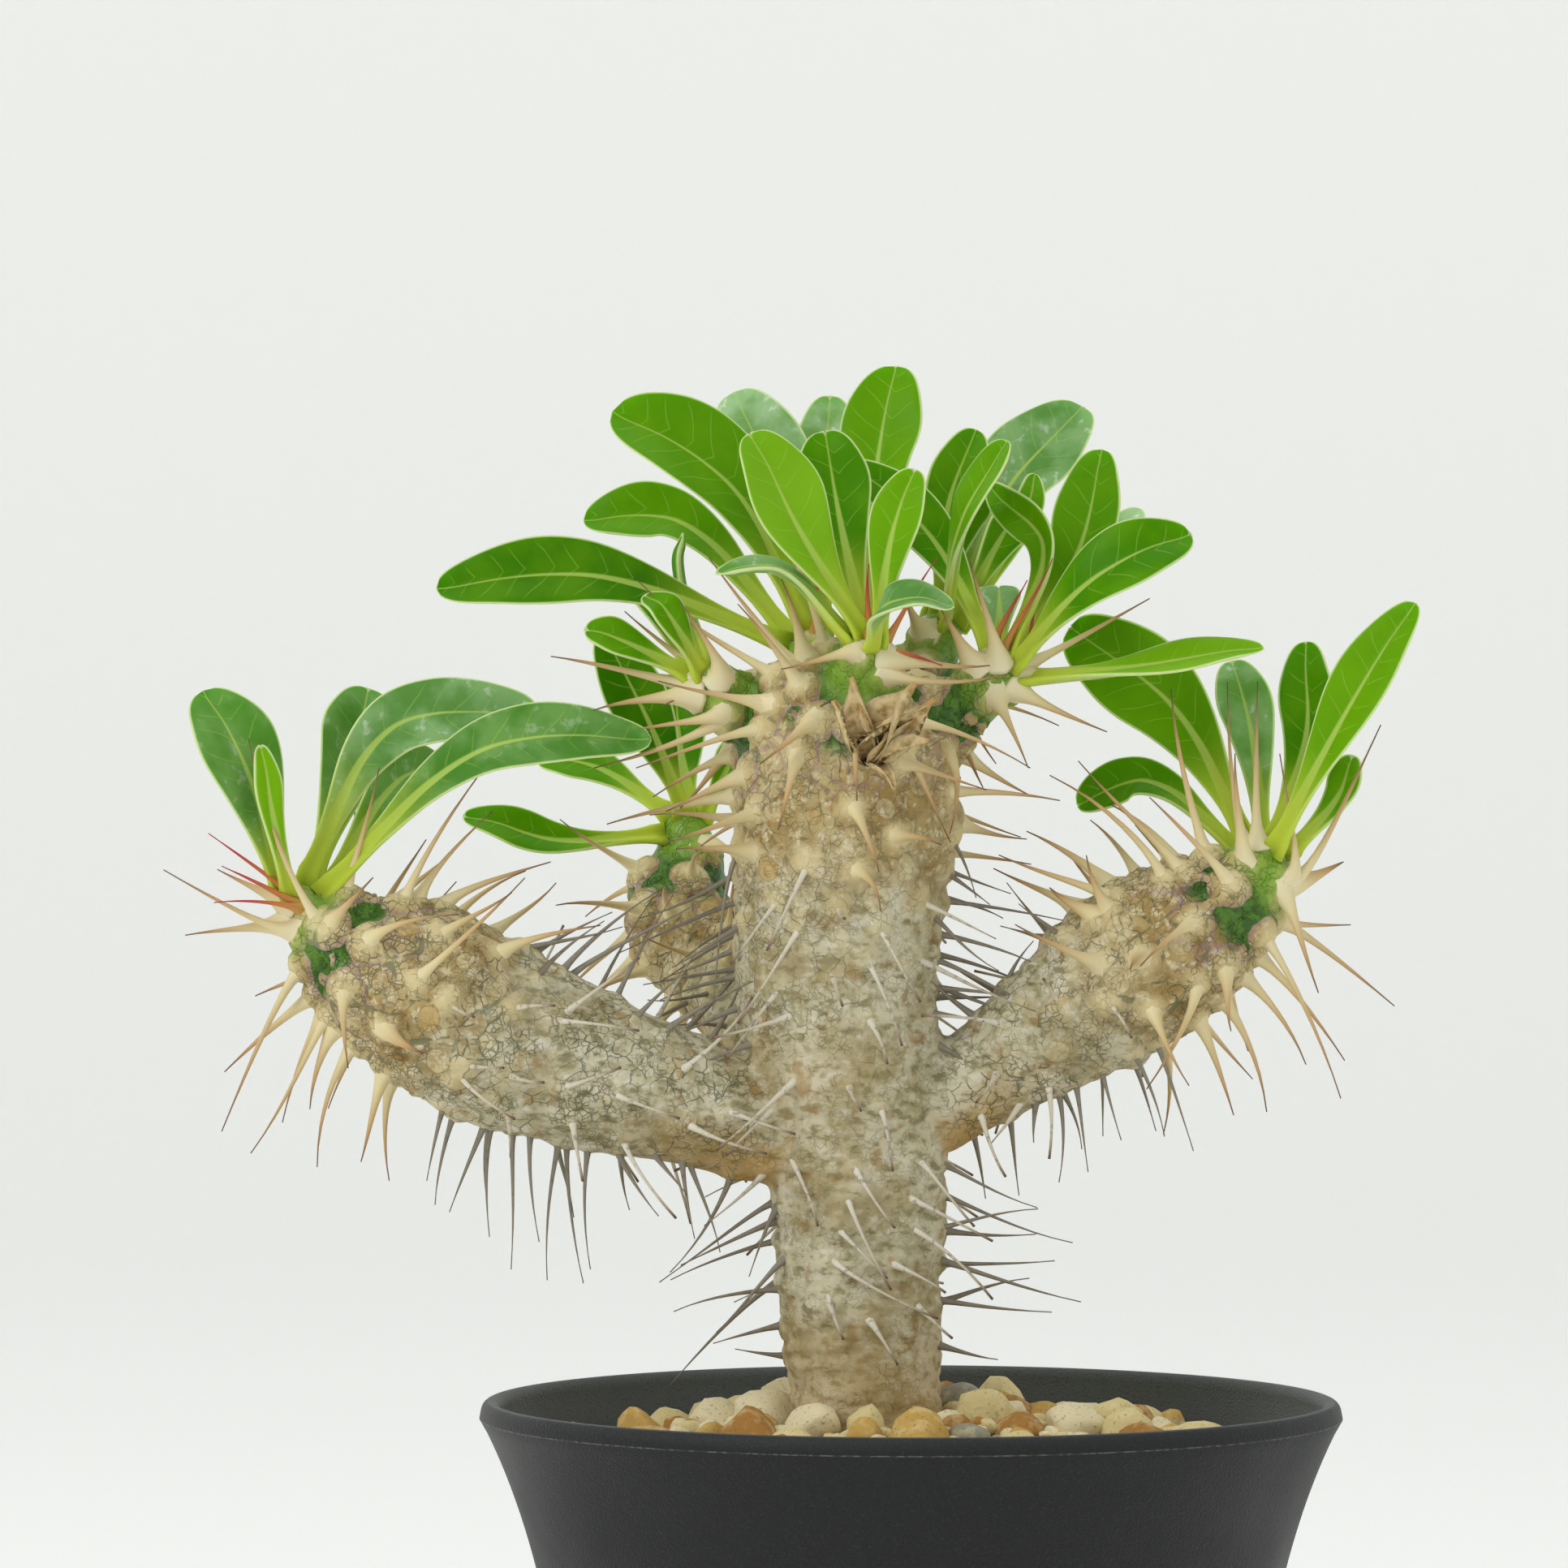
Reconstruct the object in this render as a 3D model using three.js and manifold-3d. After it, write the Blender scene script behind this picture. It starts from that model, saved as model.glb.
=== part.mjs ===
// A spiny, many-branched euphorbia growing in a plain round nursery pot.
//
// Millimetres, +Z up. The origin is the centre of the pot's flat underside, and the leaf
// crown's clearest side looks towards -Y. The pot, the soil, the grit with its loose pebbles,
// the stem, each leaf and the dried flower are separate closed solids. The stem is one grown
// piece, from the root under the soil to the growing points. Its thin spines aren't modelled
// here.
import * as THREE from "three";
import { mergeVertices } from "three/addons/utils/BufferGeometryUtils.js";
import Module from "manifold-3d";

const wasm = await Module();
wasm.setup();

// ---------------------------------------------------------------- driving dimensions
const GAP = 0.3; // clearance between pieces that touch in the real plant

const pot = {
  height: 105,
  rimRadius: 60, // at the mould seam, the pot's widest line
  baseRadius: 39.5,
  wall: 1.3,
  floor: 2.2,
  draft: 0.135, // how far the wall leans out for each millimetre of height
  flarePower: 6, // how late the wall turns out into the rim
  seamDrop: 2.4, // from the top of the rim down to the mould seam
  lipWidth: 2.8, // the thick bead round the rim
  lipBlend: 9, // height over which the wall thickens into the bead
  lipRoundness: 0.7, // below 1 squares the top of the bead
  lipSteps: 4,
  footChamfer: 1.2,
  outsideSteps: 6,
  insideSteps: 5,
  sides: 40,
};

const drain = {
  count: 6,
  radius: 3.6,
  circleRadius: 25,
  reach: 4, // the cut's length, in thicknesses of the floor
  sides: 16,
};

const soil = {
  drop: 17, // from the top of the rim down to the soil
};

const grit = {
  drop: 10, // from the top of the rim down to the grit beside the wall
  heap: 7.2, // how much higher the grit lies at the middle of the pot
  bump: 0.8, // height of the grains that stand proud
  grain: 8, // usual distance from one grain to the next
  skew: [0.4, 0.3], // how far the rows of grains slant, along x and along y
  rings: 5,
};

const foot = {
  x: -6, // the stem stands a little off the pot's centre
  y: 0,
  drop: 10, // from the top of the rim down to the stem's collar
};

const leafShape = {
  petioleWidth: 2.2,
  petioleThickness: 1.5,
  bladeThickness: 0.9,
  keel: 0.45, // how far the midrib stands out below the blade
  fold: 0.22, // rise of each margin above the midrib, as a share of the half width
  groove: 0.6, // height of the face over the midrib, as a share of its height beside it
  broadest: 1.8, // above 1 moves the broadest place towards the tip
  roundness: 0.75, // below 1 makes the blade fuller
  stalkFade: 4, // how early the stalk's thickness goes over into the blade's
  tipTaper: 8, // how short the thin end at the tip is
  stations: [0.05, 0.2, 0.36, 0.52, 0.66, 0.79, 0.9, 0.965],
};

const limbShape = {
  sides: 12,
  buttLength: 0.6, // of the buried or joined end's point, as a share of the first radius
  buttGrowth: 3, // how far that point grows for each millimetre that the limb is grown
  tipAngles: [Math.PI / 6, Math.PI / 3], // of the rings that round the tip
};

const shootShape = {
  startWidth: 1.2, // the radius where it leaves the limb, as a share of the head's
  middleWidth: 1.05,
  headDepth: 0.5, // from the tip down to the head's centre, as a share of the head's radius
};

// ---------------------------------------------------------------- the plant's own plan
// Every place below is counted from the stem's collar: x to the right, y to the back, z up.
// A limb is a list of [x, y, z, radius] stations, from its buried or joined end to its tip.
const limbs = {
  trunk: [
    [2, 1, -52, 2.5], [1, 0, -34, 7.5], [0, 0, -16, 11.4], [0, 0, 7, 10.8], [-1, 0, 22, 11.2],
    [-1, 0, 35, 11.9], [-2, 0, 47, 12.6], [-4, 0, 64, 13.8], [-4, 0, 81, 14], [-3, 0, 92, 15],
    [-3, 0, 101, 15],
  ],
  leftBranch: [
    [-3, 0, 48, 9], [-15, -1, 48.5, 8], [-26, -2, 52, 9.2], [-42, -3, 57, 11.2],
    [-53, -4, 61.5, 12], [-62, -5, 67, 11.8], [-69.5, -6, 71.5, 9.6], [-73, -6, 74, 7.2],
  ],
  rightBranch: [
    [-1, 0, 49, 7.5], [8, 0, 50.5, 6.8], [15, 0, 54.5, 7], [26, -1, 62, 9.1],
    [37, -2, 70, 11], [45, -3, 75.5, 10], [49.5, -4, 79, 7.4],
  ],
  backBranch: [
    [-4, 4, 54, 6.5], [-15, 28, 62, 6.6], [-24, 44, 71, 7], [-27, 49, 78, 7.6], [-26, 51.5, 83, 6],
  ],
};

// A shoot is a short green growing point with a round head. Its leaves stand on the head.
const shoots = {
  left: { tip: [-79, -6, 79], from: [-74, -6, 75], radius: 4.6 },
  right: { tip: [56.5, -4, 85], from: [51, -4, 80], radius: 4.6 },
  back: { tip: [-26, 52, 90], from: [-26, 52, 85], radius: 4.4 },
  front: { tip: [0, -13, 114], from: [-3, -5, 102], radius: 4.6 },
  middle: { tip: [-8, 3, 115], from: [-6, 2, 102], radius: 4.8 },
  rear: { tip: [10.5, 9, 118], from: [4, 4, 102], radius: 4.2 },
  side: { tip: [19.5, -4, 112], from: [4, -1, 99], radius: 4.4 },
  inner: { tip: [-23, -3, 110], from: [-12, -1, 102], radius: 4.2 },
};

// A leaf is its shoot, then three [x, y, z] offsets from the shoot's tip, its full width, and
// the way its upper face looks. The first offset says on which side of the head it stands, and
// the others are its middle and its tip.
const leaves = [
  ["left", [-5, -3, 2], [-6, -8, 17], [-12, -8, 30], 12, [0.5, -1, 0.2]],
  ["left", [-3.5, -7, 3], [-3, -10, 13], [-4, -12, 22], 4, [0.3, -1, 0.2]],
  ["left", [0.5, 1, 4.5], [12.5, 8, 24.5], [33, 7, 27], 11, [0.3, -1, 0.6]],
  ["left", [5, -5, 4], [25, -5, 21], [49, -3, 24], 10, [0.1, -1, 0.7]],
  ["left", [1, 7, 5], [6, 17, 20], [9, 21, 31], 11, [0.2, -1, 0.1]],
  ["left", [5, 5, 4], [13, 14, 17], [20, 17, 20], 8, [0.2, -1, 0.6]],
  ["back", [-7, -4, -1.5], [-19.5, -6, -2.5], [-32, -8, 2], 7, [0, -1, 0.8]],
  ["back", [-4, 1, 3], [-13, 6, 8], [-22, 8, 10], 7, [0, -1, 0.6]],
  ["back", [-0.5, -3, 4], [-5, -6, 14], [-12, -8, 28], 9, [0, -1, 0]],
  ["back", [1, 3.5, 4], [-1, 10, 11], [-2, 14, 21], 8, [0.2, -1, 0]],
  ["back", [4, -2, 3], [6, -4, 8], [8, -5, 13], 5, [0, -1, 0]],
  ["inner", [-4, -1.5, 2], [-10, -4, 5], [-16, -6, 7.5], 6, [0, -1, 0.6]],
  ["inner", [-2, -4.5, 3], [-4, -6.5, 8], [-7, -7, 12.5], 5.5, [0.6, -1, 0.2]],
  ["middle", [-6, -1, 2], [-29, -4, 9.5], [-52, -6, 8.5], 10.5, [0.1, -1, 0.5]],
  ["middle", [-1.5, -2.5, 4], [-10.5, -1, 21.5], [-27, -3, 33.5], 15.5, [0.6, -1, 0.5]],
  ["middle", [0, 4, 5], [-4, 11, 21], [-11, 15, 37], 13, [0, -1, 0]],
  ["middle", [-5, 4.5, 4], [-18, 11, 17.5], [-32, 11, 18.5], 10, [0, -1, 0.8]],
  ["inner", [0.5, 4.5, 4], [-3, 9.5, 13], [-4, 10.5, 21], 3, [-1, -0.3, 0]],
  ["inner", [-3.5, 4, 3], [-7, 14, 11], [-11, 21, 18], 5, [0, -1, 0.3]],
  ["front", [-3.5, -2.5, 3], [-12, -5, 11], [-21, -6, 11], 4.5, [-0.2, -0.5, 1]],
  ["front", [1, -5, 2], [2.5, -10, 6], [11, -12, 7.5], 7, [-0.4, -0.7, 1]],
  ["front", [-1, -3, 4.5], [-10, -6, 17], [-16, -7, 30], 12, [0.6, -1, 0.2]],
  ["front", [-0.5, 3.5, 4.5], [-4, 8, 19], [-6, 10, 31], 10.5, [0, -1, 0]],
  ["front", [1.5, 9, 5.5], [1.5, 26, 26], [4, 31, 41.5], 12, [-0.3, -1, 0.2]],
  ["middle", [3, 5, 6], [2, 18, 23], [3, 23, 37], 9, [0, -1, 0]],
  ["front", [2.5, -4, 3.5], [3, -8, 15], [6, -8, 25], 7.5, [-0.3, -1, 0.2]],
  ["rear", [0.5, 2.5, 4.5], [1, 4, 17], [5, 4, 28], 8, [0, -1, 0]],
  ["rear", [1.5, -8, 3.5], [3, -19.5, 15], [9, -19.5, 25], 9, [-0.9, -0.6, 0.5]],
  ["rear", [4.5, 5, 2.5], [10, 19, 20], [21, 25, 32], 14, [-0.4, -1, 0.4]],
  ["rear", [5, 2, 2], [11, 8, 14], [14, 9, 22], 4.5, [0.2, -1, 0]],
  ["rear", [4.5, -1.5, 3.5], [8, 0, 12], [11.5, 1, 17], 6, [0.5, -1, 0.3]],
  ["rear", [-2.5, 6, 3], [3.5, 10, 15], [6, 9, 21], 6, [0, -1, 0]],
  ["side", [-2.5, 4, 3.5], [-10, 10, 17.5], [-21, 7, 29], 8.5, [0.3, -1, 0.4]],
  ["side", [1.5, -2.5, 4], [5, -2, 17], [-3.5, 0, 25], 6, [-0.9, -0.8, 0.3]],
  ["side", [3, 2, 3.5], [10, 5, 16], [13.5, 7, 30.5], 10, [-0.5, -1, 0.3]],
  ["side", [3.5, -5.5, 2], [11, -10, 11.5], [24.5, -10.5, 19], 11, [-0.4, -1, 0.6]],
  ["side", [5, -4, -2], [19, -7.5, 0], [35, -7, 3], 7, [0, -0.7, 1]],
  ["side", [2, 6, 3], [12, 17, 14], [19.5, 23, 23], 6, [-0.3, -1, 0.4]],
  ["side", [-1, 6, 4], [-1, 8.5, 8.5], [-1, 10.5, 12.5], 6, [0, -1, 0.2]],
  ["right", [-4, 3, 4], [-13, 9, 21], [-28, 13, 33], 13, [-0.4, -1, 0.2]],
  ["right", [-7, 7, 3.5], [-17, 13, 11], [-27, 14, 8], 8, [0.2, -1, 0.8]],
  ["right", [-1, 7, 4], [-2, 19, 18], [-4.5, 24, 29], 8, [0, -1, 0]],
  ["right", [1, 1.5, 5], [5, 6.5, 18], [4.5, 8, 31], 8, [-0.3, -1, 0]],
  ["right", [1, -4.5, 3.5], [8.5, -9, 19], [18.5, -9, 36], 9, [-0.7, -1, 0.2]],
  ["right", [4.5, 3, 2.5], [9.5, 8, 9], [11.5, 9, 15], 5, [-0.3, -1, 0.2]],
];

// The dried flower: the end of its stalk, and the papery lobes' tips, in front of the crown.
const driedFlower = {
  hub: [-1, -16.7, 98],
  hubRadius: 1.7,
  lobeWidth: 2.6,
  lobeBow: 1.2,
  look: [0.3, -1, 0.2], // the way the lobes' faces look
  lobeTips: [
    [-4.5, -20.5, 106.5], [-1, -21, 108], [7, -20.5, 106], [5, -20.5, 99], [-2, -20.5, 93.5],
  ],
  lobeStations: [0.1, 0.4, 0.7, 0.92],
};

// Loose pebbles on the grit: x and y as shares of the grit's radius, from the pot's centre,
// then half their length, width and height.
const pebbles = [
  ["tan_pebble", 0.26, 0.16, 5.4, 4.4, 3.2],
  ["cream_pebble", 0.46, 0.22, 3.8, 3.4, 3],
  ["brown_pebble", -0.5, 0.24, 4, 3.4, 2.8],
  ["white_pebble", 0.66, 0.16, 3.2, 3, 2.6],
];

const colours = {
  pot: { color: 0x2b2d2c, roughness: 0.55 },
  soil: { color: 0x4a3a2a, roughness: 1 },
  grit: { color: 0x8a7a5c, roughness: 0.95 },
  pebble: { color: 0xb79c6a, roughness: 0.9 },
  stem: { color: 0xa1976f, roughness: 0.85 },
  leaf: { color: 0x4b8a1c, roughness: 0.45 },
  driedFlower: { color: 0x9a7b4f, roughness: 0.9 },
};

// ---------------------------------------------------------------- shared geometry
function solidOf(geometry) {
  const bare = geometry.clone();
  bare.deleteAttribute("normal");
  bare.deleteAttribute("uv");
  const merged = mergeVertices(bare, 1e-3);
  return new wasm.Manifold(
    new wasm.Mesh({
      numProp: 3,
      vertProperties: merged.attributes.position.array,
      triVerts: new Uint32Array(merged.index.array),
    }),
  );
}

function geometryOf(solid) {
  const mesh = solid.getMesh();
  const geometry = new THREE.BufferGeometry();
  geometry.setAttribute("position", new THREE.BufferAttribute(mesh.vertProperties, 3));
  geometry.setIndex(new THREE.BufferAttribute(mesh.triVerts, 1));
  geometry.computeVertexNormals();
  return geometry;
}

// A closed skin over rings of equally many points, ending in one point at each end.
function skin(start, rings, end) {
  const across = rings[0].length;
  const points = [start, ...rings.flat(), end];
  const last = points.length - 1;
  const at = (ring, step) => 1 + ring * across + (step % across);
  const index = [];
  for (let j = 0; j < across; j += 1) {
    index.push(0, at(0, j), at(0, j + 1));
    index.push(last, at(rings.length - 1, j + 1), at(rings.length - 1, j));
    for (let i = 0; i + 1 < rings.length; i += 1) {
      index.push(at(i, j), at(i + 1, j + 1), at(i, j + 1));
      index.push(at(i, j), at(i + 1, j), at(i + 1, j + 1));
    }
  }
  const geometry = new THREE.BufferGeometry().setFromPoints(points);
  geometry.setIndex(index);
  return geometry;
}

// The place, side and facing of a section that stands across a curve.
function sectionFrame(curve, t, look) {
  const centre = curve.getPoint(t);
  const along = curve.getTangent(t);
  const facing = look.clone().addScaledVector(along, -look.dot(along)).normalize();
  const side = new THREE.Vector3().crossVectors(along, facing);
  return { centre, along, facing, side };
}

function sectionPoint(frame, across, up) {
  return frame.centre.clone().addScaledVector(frame.side, across).addScaledVector(frame.facing, up);
}

// ---------------------------------------------------------------- pot, soil, grit, pebbles
const seamHeight = pot.height - pot.seamDrop;
const flare = pot.rimRadius - pot.baseRadius - pot.draft * seamHeight;

function outerRadius(z) {
  return pot.baseRadius + pot.draft * z + flare * (z / seamHeight) ** pot.flarePower;
}

function innerRadius(z) {
  const towardsLip = THREE.MathUtils.smoothstep(z, seamHeight - pot.lipBlend, seamHeight);
  return outerRadius(z) - THREE.MathUtils.lerp(pot.wall, pot.lipWidth, towardsLip);
}

// Heights at which the wall is cut, closer together where it flares.
function wallHeights(low, high, steps) {
  return Array.from({ length: steps + 1 }, (_, i) => {
    const share = 1 - (1 - i / steps) ** 2;
    return low + (high - low) * share;
  });
}

function drainHole(number) {
  const angle = (number / drain.count) * 2 * Math.PI;
  const hole = new THREE.CylinderGeometry(drain.radius, drain.radius, drain.reach * pot.floor, drain.sides);
  hole.rotateX(Math.PI / 2);
  hole.translate(drain.circleRadius * Math.cos(angle), drain.circleRadius * Math.sin(angle), 0);
  return solidOf(hole);
}

// A turned solid about Z from [radius, height] points that run from the low end of the axis,
// round the outside, to its high end.
function turned(outline) {
  const points = outline.map(([radius, height]) => new THREE.Vector2(radius, height));
  const geometry = new THREE.LatheGeometry(points, pot.sides);
  geometry.rotateX(Math.PI / 2);
  return geometry;
}

// The inside of the wall as [radius, height] points, and its radius at any height between.
const insideWall = wallHeights(pot.floor, seamHeight, pot.insideSteps).map((z) => [innerRadius(z), z]);

function insideRadius(z) {
  const above = Math.max(1, insideWall.findIndex(([, height]) => height >= z));
  const [lowRadius, low] = insideWall[above - 1];
  const [highRadius, high] = insideWall[above];
  return THREE.MathUtils.mapLinear(z, low, high, lowRadius, highRadius);
}

function potGeometry() {
  const heights = wallHeights(pot.footChamfer, seamHeight, pot.outsideSteps);
  const outside = heights.map((z) => [outerRadius(z), z]);
  const lipCentre = pot.rimRadius - pot.lipWidth / 2;
  const lip = Array.from({ length: pot.lipSteps - 1 }, (_, i) => {
    const angle = ((i + 1) / pot.lipSteps) * Math.PI;
    return [
      lipCentre + (pot.lipWidth / 2) * Math.cos(angle),
      seamHeight + pot.seamDrop * Math.sin(angle) ** pot.lipRoundness,
    ];
  });
  const outline = [
    [0, 0],
    [pot.baseRadius - pot.footChamfer, 0],
    ...outside,
    ...lip,
    ...insideWall.toReversed(),
    [0, pot.floor],
  ];
  let solid = solidOf(turned(outline));
  for (let i = 0; i < drain.count; i += 1) solid = solid.subtract(drainHole(i));
  return geometryOf(solid);
}

const soilTop = pot.height - soil.drop;
const gritLow = soilTop + GAP;
const gritEdge = pot.height - grit.drop;
const gritRadius = insideRadius(gritEdge - grit.bump) - GAP;

function soilGeometry(root) {
  const low = pot.floor + GAP;
  const between = insideWall.map(([, z]) => z).filter((z) => z > low && z < soilTop);
  const wall = [low, ...between, soilTop].map((z) => [insideRadius(z) - GAP, z]);
  const outline = [[0, low], ...wall, [0, soilTop]];
  return geometryOf(solidOf(turned(outline)).subtract(root));
}

function gritHeight(x, y) {
  const heap = grit.heap * (1 - (x * x + y * y) / gritRadius ** 2);
  const turn = (2 * Math.PI) / (2 * grit.grain);
  const [slantX, slantY] = grit.skew;
  const bumps = Math.sin(turn * (x + slantX * y)) * Math.cos(turn * (y - slantY * x));
  return gritEdge + heap + grit.bump * bumps;
}

// A pebble lies half sunk in the grit. The grown one, by GAP, is the hollow that it lies in.
function pebbleGeometry(xShare, yShare, halfLength, halfWidth, halfHeight, growth) {
  const x = xShare * gritRadius;
  const y = yShare * gritRadius;
  const geometry = new THREE.IcosahedronGeometry(1, 1);
  geometry.scale(halfLength + growth, halfWidth + growth, halfHeight + growth);
  geometry.rotateZ(Math.atan2(x, y));
  geometry.translate(x, y, gritHeight(x, y));
  return geometry;
}

function gritGeometry(root) {
  const rings = Array.from({ length: grit.rings }, (_, i) => {
    return [gritRadius * (1 - i / grit.rings), gritEdge];
  });
  const outline = [[0, gritLow], [insideRadius(gritLow) - GAP, gritLow], ...rings, [0, gritEdge]];
  const geometry = turned(outline);
  const place = geometry.attributes.position;
  for (let i = 0; i < place.count; i += 1) {
    if (place.getZ(i) > gritLow + GAP) {
      place.setZ(i, gritHeight(place.getX(i), place.getY(i)));
    }
  }
  let solid = solidOf(geometry).subtract(root);
  for (const [, ...sizes] of pebbles) {
    solid = solid.subtract(solidOf(pebbleGeometry(...sizes, GAP)));
  }
  return geometryOf(solid);
}

// ---------------------------------------------------------------- stem
const collar = new THREE.Vector3(foot.x, foot.y, pot.height - foot.drop);

function fromCollar([x, y, z]) {
  return new THREE.Vector3(x, y, z).add(collar);
}

// A limb of round sections through its stations, closed by a rounded tip.
function limbGeometry(stations, growth = 0) {
  const look = new THREE.Vector3(0, 1, 0);
  const curve = new THREE.CatmullRomCurve3(stations.map(fromCollar));
  const ringOf = (frame, radius) =>
    Array.from({ length: limbShape.sides }, (_, j) => {
      const angle = (j / limbShape.sides) * 2 * Math.PI;
      return sectionPoint(frame, radius * Math.cos(angle), radius * Math.sin(angle));
    });
  const frames = stations.map((_, i) => sectionFrame(curve, i / (stations.length - 1), look));
  const rings = stations.map(([, , , radius], i) => ringOf(frames[i], radius + growth));
  const tip = frames[frames.length - 1];
  const tipRadius = stations[stations.length - 1][3] + growth;
  for (const angle of limbShape.tipAngles) {
    const centre = tip.centre.clone().addScaledVector(tip.along, Math.sin(angle) * tipRadius);
    rings.push(ringOf({ ...tip, centre }, Math.cos(angle) * tipRadius));
  }
  const [butt] = frames;
  const buttLength = limbShape.buttLength * stations[0][3] + limbShape.buttGrowth * growth;
  const start = butt.centre.clone().addScaledVector(butt.along, -buttLength);
  const end = tip.centre.clone().addScaledVector(tip.along, tipRadius);
  return skin(start, rings, end);
}

// The centre of a shoot's round head, which stands a little below its tip.
function headCentre({ tip, from, radius }) {
  const foot = fromCollar(from);
  const top = fromCollar(tip);
  return top.addScaledVector(foot.sub(top).normalize(), shootShape.headDepth * radius);
}

// A growing point: a short taper that ends in the round head.
function shootStations(shoot) {
  const head = headCentre(shoot).sub(collar).toArray();
  const middle = head.map((value, i) => (value + shoot.from[i]) / 2);
  return [
    [...shoot.from, shootShape.startWidth * shoot.radius],
    [...middle, shootShape.middleWidth * shoot.radius],
    [...head, shoot.radius],
  ];
}

function stemGeometry() {
  const pieces = [...Object.values(limbs), ...Object.values(shoots).map(shootStations)];
  const solids = pieces.map((stations) => solidOf(limbGeometry(stations)));
  return geometryOf(solids.reduce((whole, piece) => whole.add(piece)));
}

// ---------------------------------------------------------------- leaves and dried flower
// Half width along the leaf: a narrow stalk that opens into a blade, rounded at the tip.
function halfWidthAt(t, width) {
  const { broadest, roundness } = leafShape;
  const blade = (width / 2) * Math.sin(Math.PI * t ** broadest) ** roundness;
  const stalk = (leafShape.petioleWidth / 2) * (1 - t);
  return Math.hypot(blade, stalk);
}

// A blade through its foot, middle and tip. Its section has two thin margins, a shallow
// groove above the midrib and a keel below it.
function bladeGeometry(points, width, look, stations) {
  const curve = new THREE.CatmullRomCurve3(points);
  const facing = new THREE.Vector3(...look).normalize();
  const rings = stations.map((t) => {
    const frame = sectionFrame(curve, t, facing);
    const half = halfWidthAt(t, width);
    const stalkShare = (1 - t) ** leafShape.stalkFade;
    const thickness = THREE.MathUtils.lerp(
      leafShape.bladeThickness,
      leafShape.petioleThickness,
      stalkShare,
    );
    const taper = Math.min(1, leafShape.tipTaper * (1 - t));
    const up = (thickness / 2) * taper;
    const keel = leafShape.keel * taper;
    const rise = leafShape.fold * half;
    return [
      [half, rise], [half / 2, rise / 2 + up], [0, leafShape.groove * up], [-half / 2, rise / 2 + up],
      [-half, rise], [-half / 2, rise / 2 - up], [0, -up - keel], [half / 2, rise / 2 - up],
    ].map(([across, height]) => sectionPoint(frame, across, height));
  });
  return skin(curve.getPoint(0), rings, curve.getPoint(1));
}

function leafGeometry([shootName, stand, middle, tip, width, look]) {
  const shoot = shoots[shootName];
  const fromTip = (offset) => fromCollar(shoot.tip).add(new THREE.Vector3(...offset));
  const head = headCentre(shoot);
  const outward = fromTip(stand).sub(head).normalize();
  const footing = head.addScaledVector(outward, shoot.radius + GAP);
  return bladeGeometry([footing, fromTip(middle), fromTip(tip)], width, look, leafShape.stations);
}

function driedFlowerGeometry() {
  const hub = fromCollar(driedFlower.hub);
  const ball = new THREE.IcosahedronGeometry(driedFlower.hubRadius, 1);
  ball.translate(hub.x, hub.y, hub.z);
  const lobes = driedFlower.lobeTips.map((place) => {
    const tip = fromCollar(place);
    const middle = hub.clone().lerp(tip, 0.5);
    middle.y -= driedFlower.lobeBow;
    const { lobeWidth, look, lobeStations } = driedFlower;
    return solidOf(bladeGeometry([hub, middle, tip], lobeWidth, look, lobeStations));
  });
  return geometryOf(lobes.reduce((whole, lobe) => whole.add(lobe), solidOf(ball)));
}

// ---------------------------------------------------------------- assembly
const plant = new THREE.Group();

function add(name, geometry, { color, roughness }) {
  const mesh = new THREE.Mesh(
    geometry,
    new THREE.MeshStandardMaterial({ color, roughness, metalness: 0 }),
  );
  mesh.name = name;
  plant.add(mesh);
}

const root = solidOf(limbGeometry(limbs.trunk, GAP));

add("pot", potGeometry(), colours.pot);
add("soil", soilGeometry(root), colours.soil);
add("grit", gritGeometry(root), colours.grit);
for (const [name, ...sizes] of pebbles) {
  add(name, pebbleGeometry(...sizes, 0), colours.pebble);
}
add("stem", stemGeometry(), colours.stem);
add("dried_flower", driedFlowerGeometry(), colours.driedFlower);

const made = {};
for (const leaf of leaves) {
  const [shootName] = leaf;
  made[shootName] = (made[shootName] ?? 0) + 1;
  add(`${shootName}_leaf_${made[shootName]}`, leafGeometry(leaf), colours.leaf);
}

export default plant;
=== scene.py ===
"""The looks of a spiny, branched euphorbia in a plain nursery pot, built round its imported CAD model.

Sizes inside the classes are in millimetres, and every mesh is made in metres in the CAD's own frame.
The plant's own plan is counted from the stem's collar, as the CAD plan is.
"""

import logging
import math
import random
from dataclasses import dataclass, field
from enum import Enum
from functools import partial
from typing import Callable, Iterable, Sequence

import bmesh
import bpy
import numpy as np
from mathutils import Matrix, Vector, kdtree, noise
from mathutils.bvhtree import BVHTree


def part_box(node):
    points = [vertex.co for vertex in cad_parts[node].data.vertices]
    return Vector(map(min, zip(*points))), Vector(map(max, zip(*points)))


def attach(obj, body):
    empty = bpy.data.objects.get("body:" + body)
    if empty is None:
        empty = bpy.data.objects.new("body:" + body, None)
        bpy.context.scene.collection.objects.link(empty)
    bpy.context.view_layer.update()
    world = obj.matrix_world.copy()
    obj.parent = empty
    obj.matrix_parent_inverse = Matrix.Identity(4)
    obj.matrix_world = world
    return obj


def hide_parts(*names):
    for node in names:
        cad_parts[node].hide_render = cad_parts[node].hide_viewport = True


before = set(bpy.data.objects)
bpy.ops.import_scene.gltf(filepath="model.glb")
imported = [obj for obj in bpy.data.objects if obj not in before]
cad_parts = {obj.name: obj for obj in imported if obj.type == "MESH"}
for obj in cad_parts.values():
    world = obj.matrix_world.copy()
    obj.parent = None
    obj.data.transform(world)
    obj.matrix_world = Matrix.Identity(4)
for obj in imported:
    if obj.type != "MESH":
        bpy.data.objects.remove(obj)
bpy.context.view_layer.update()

LOG = logging.getLogger("euphorbia")
MM = 0.001
BODY = "root"
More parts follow.
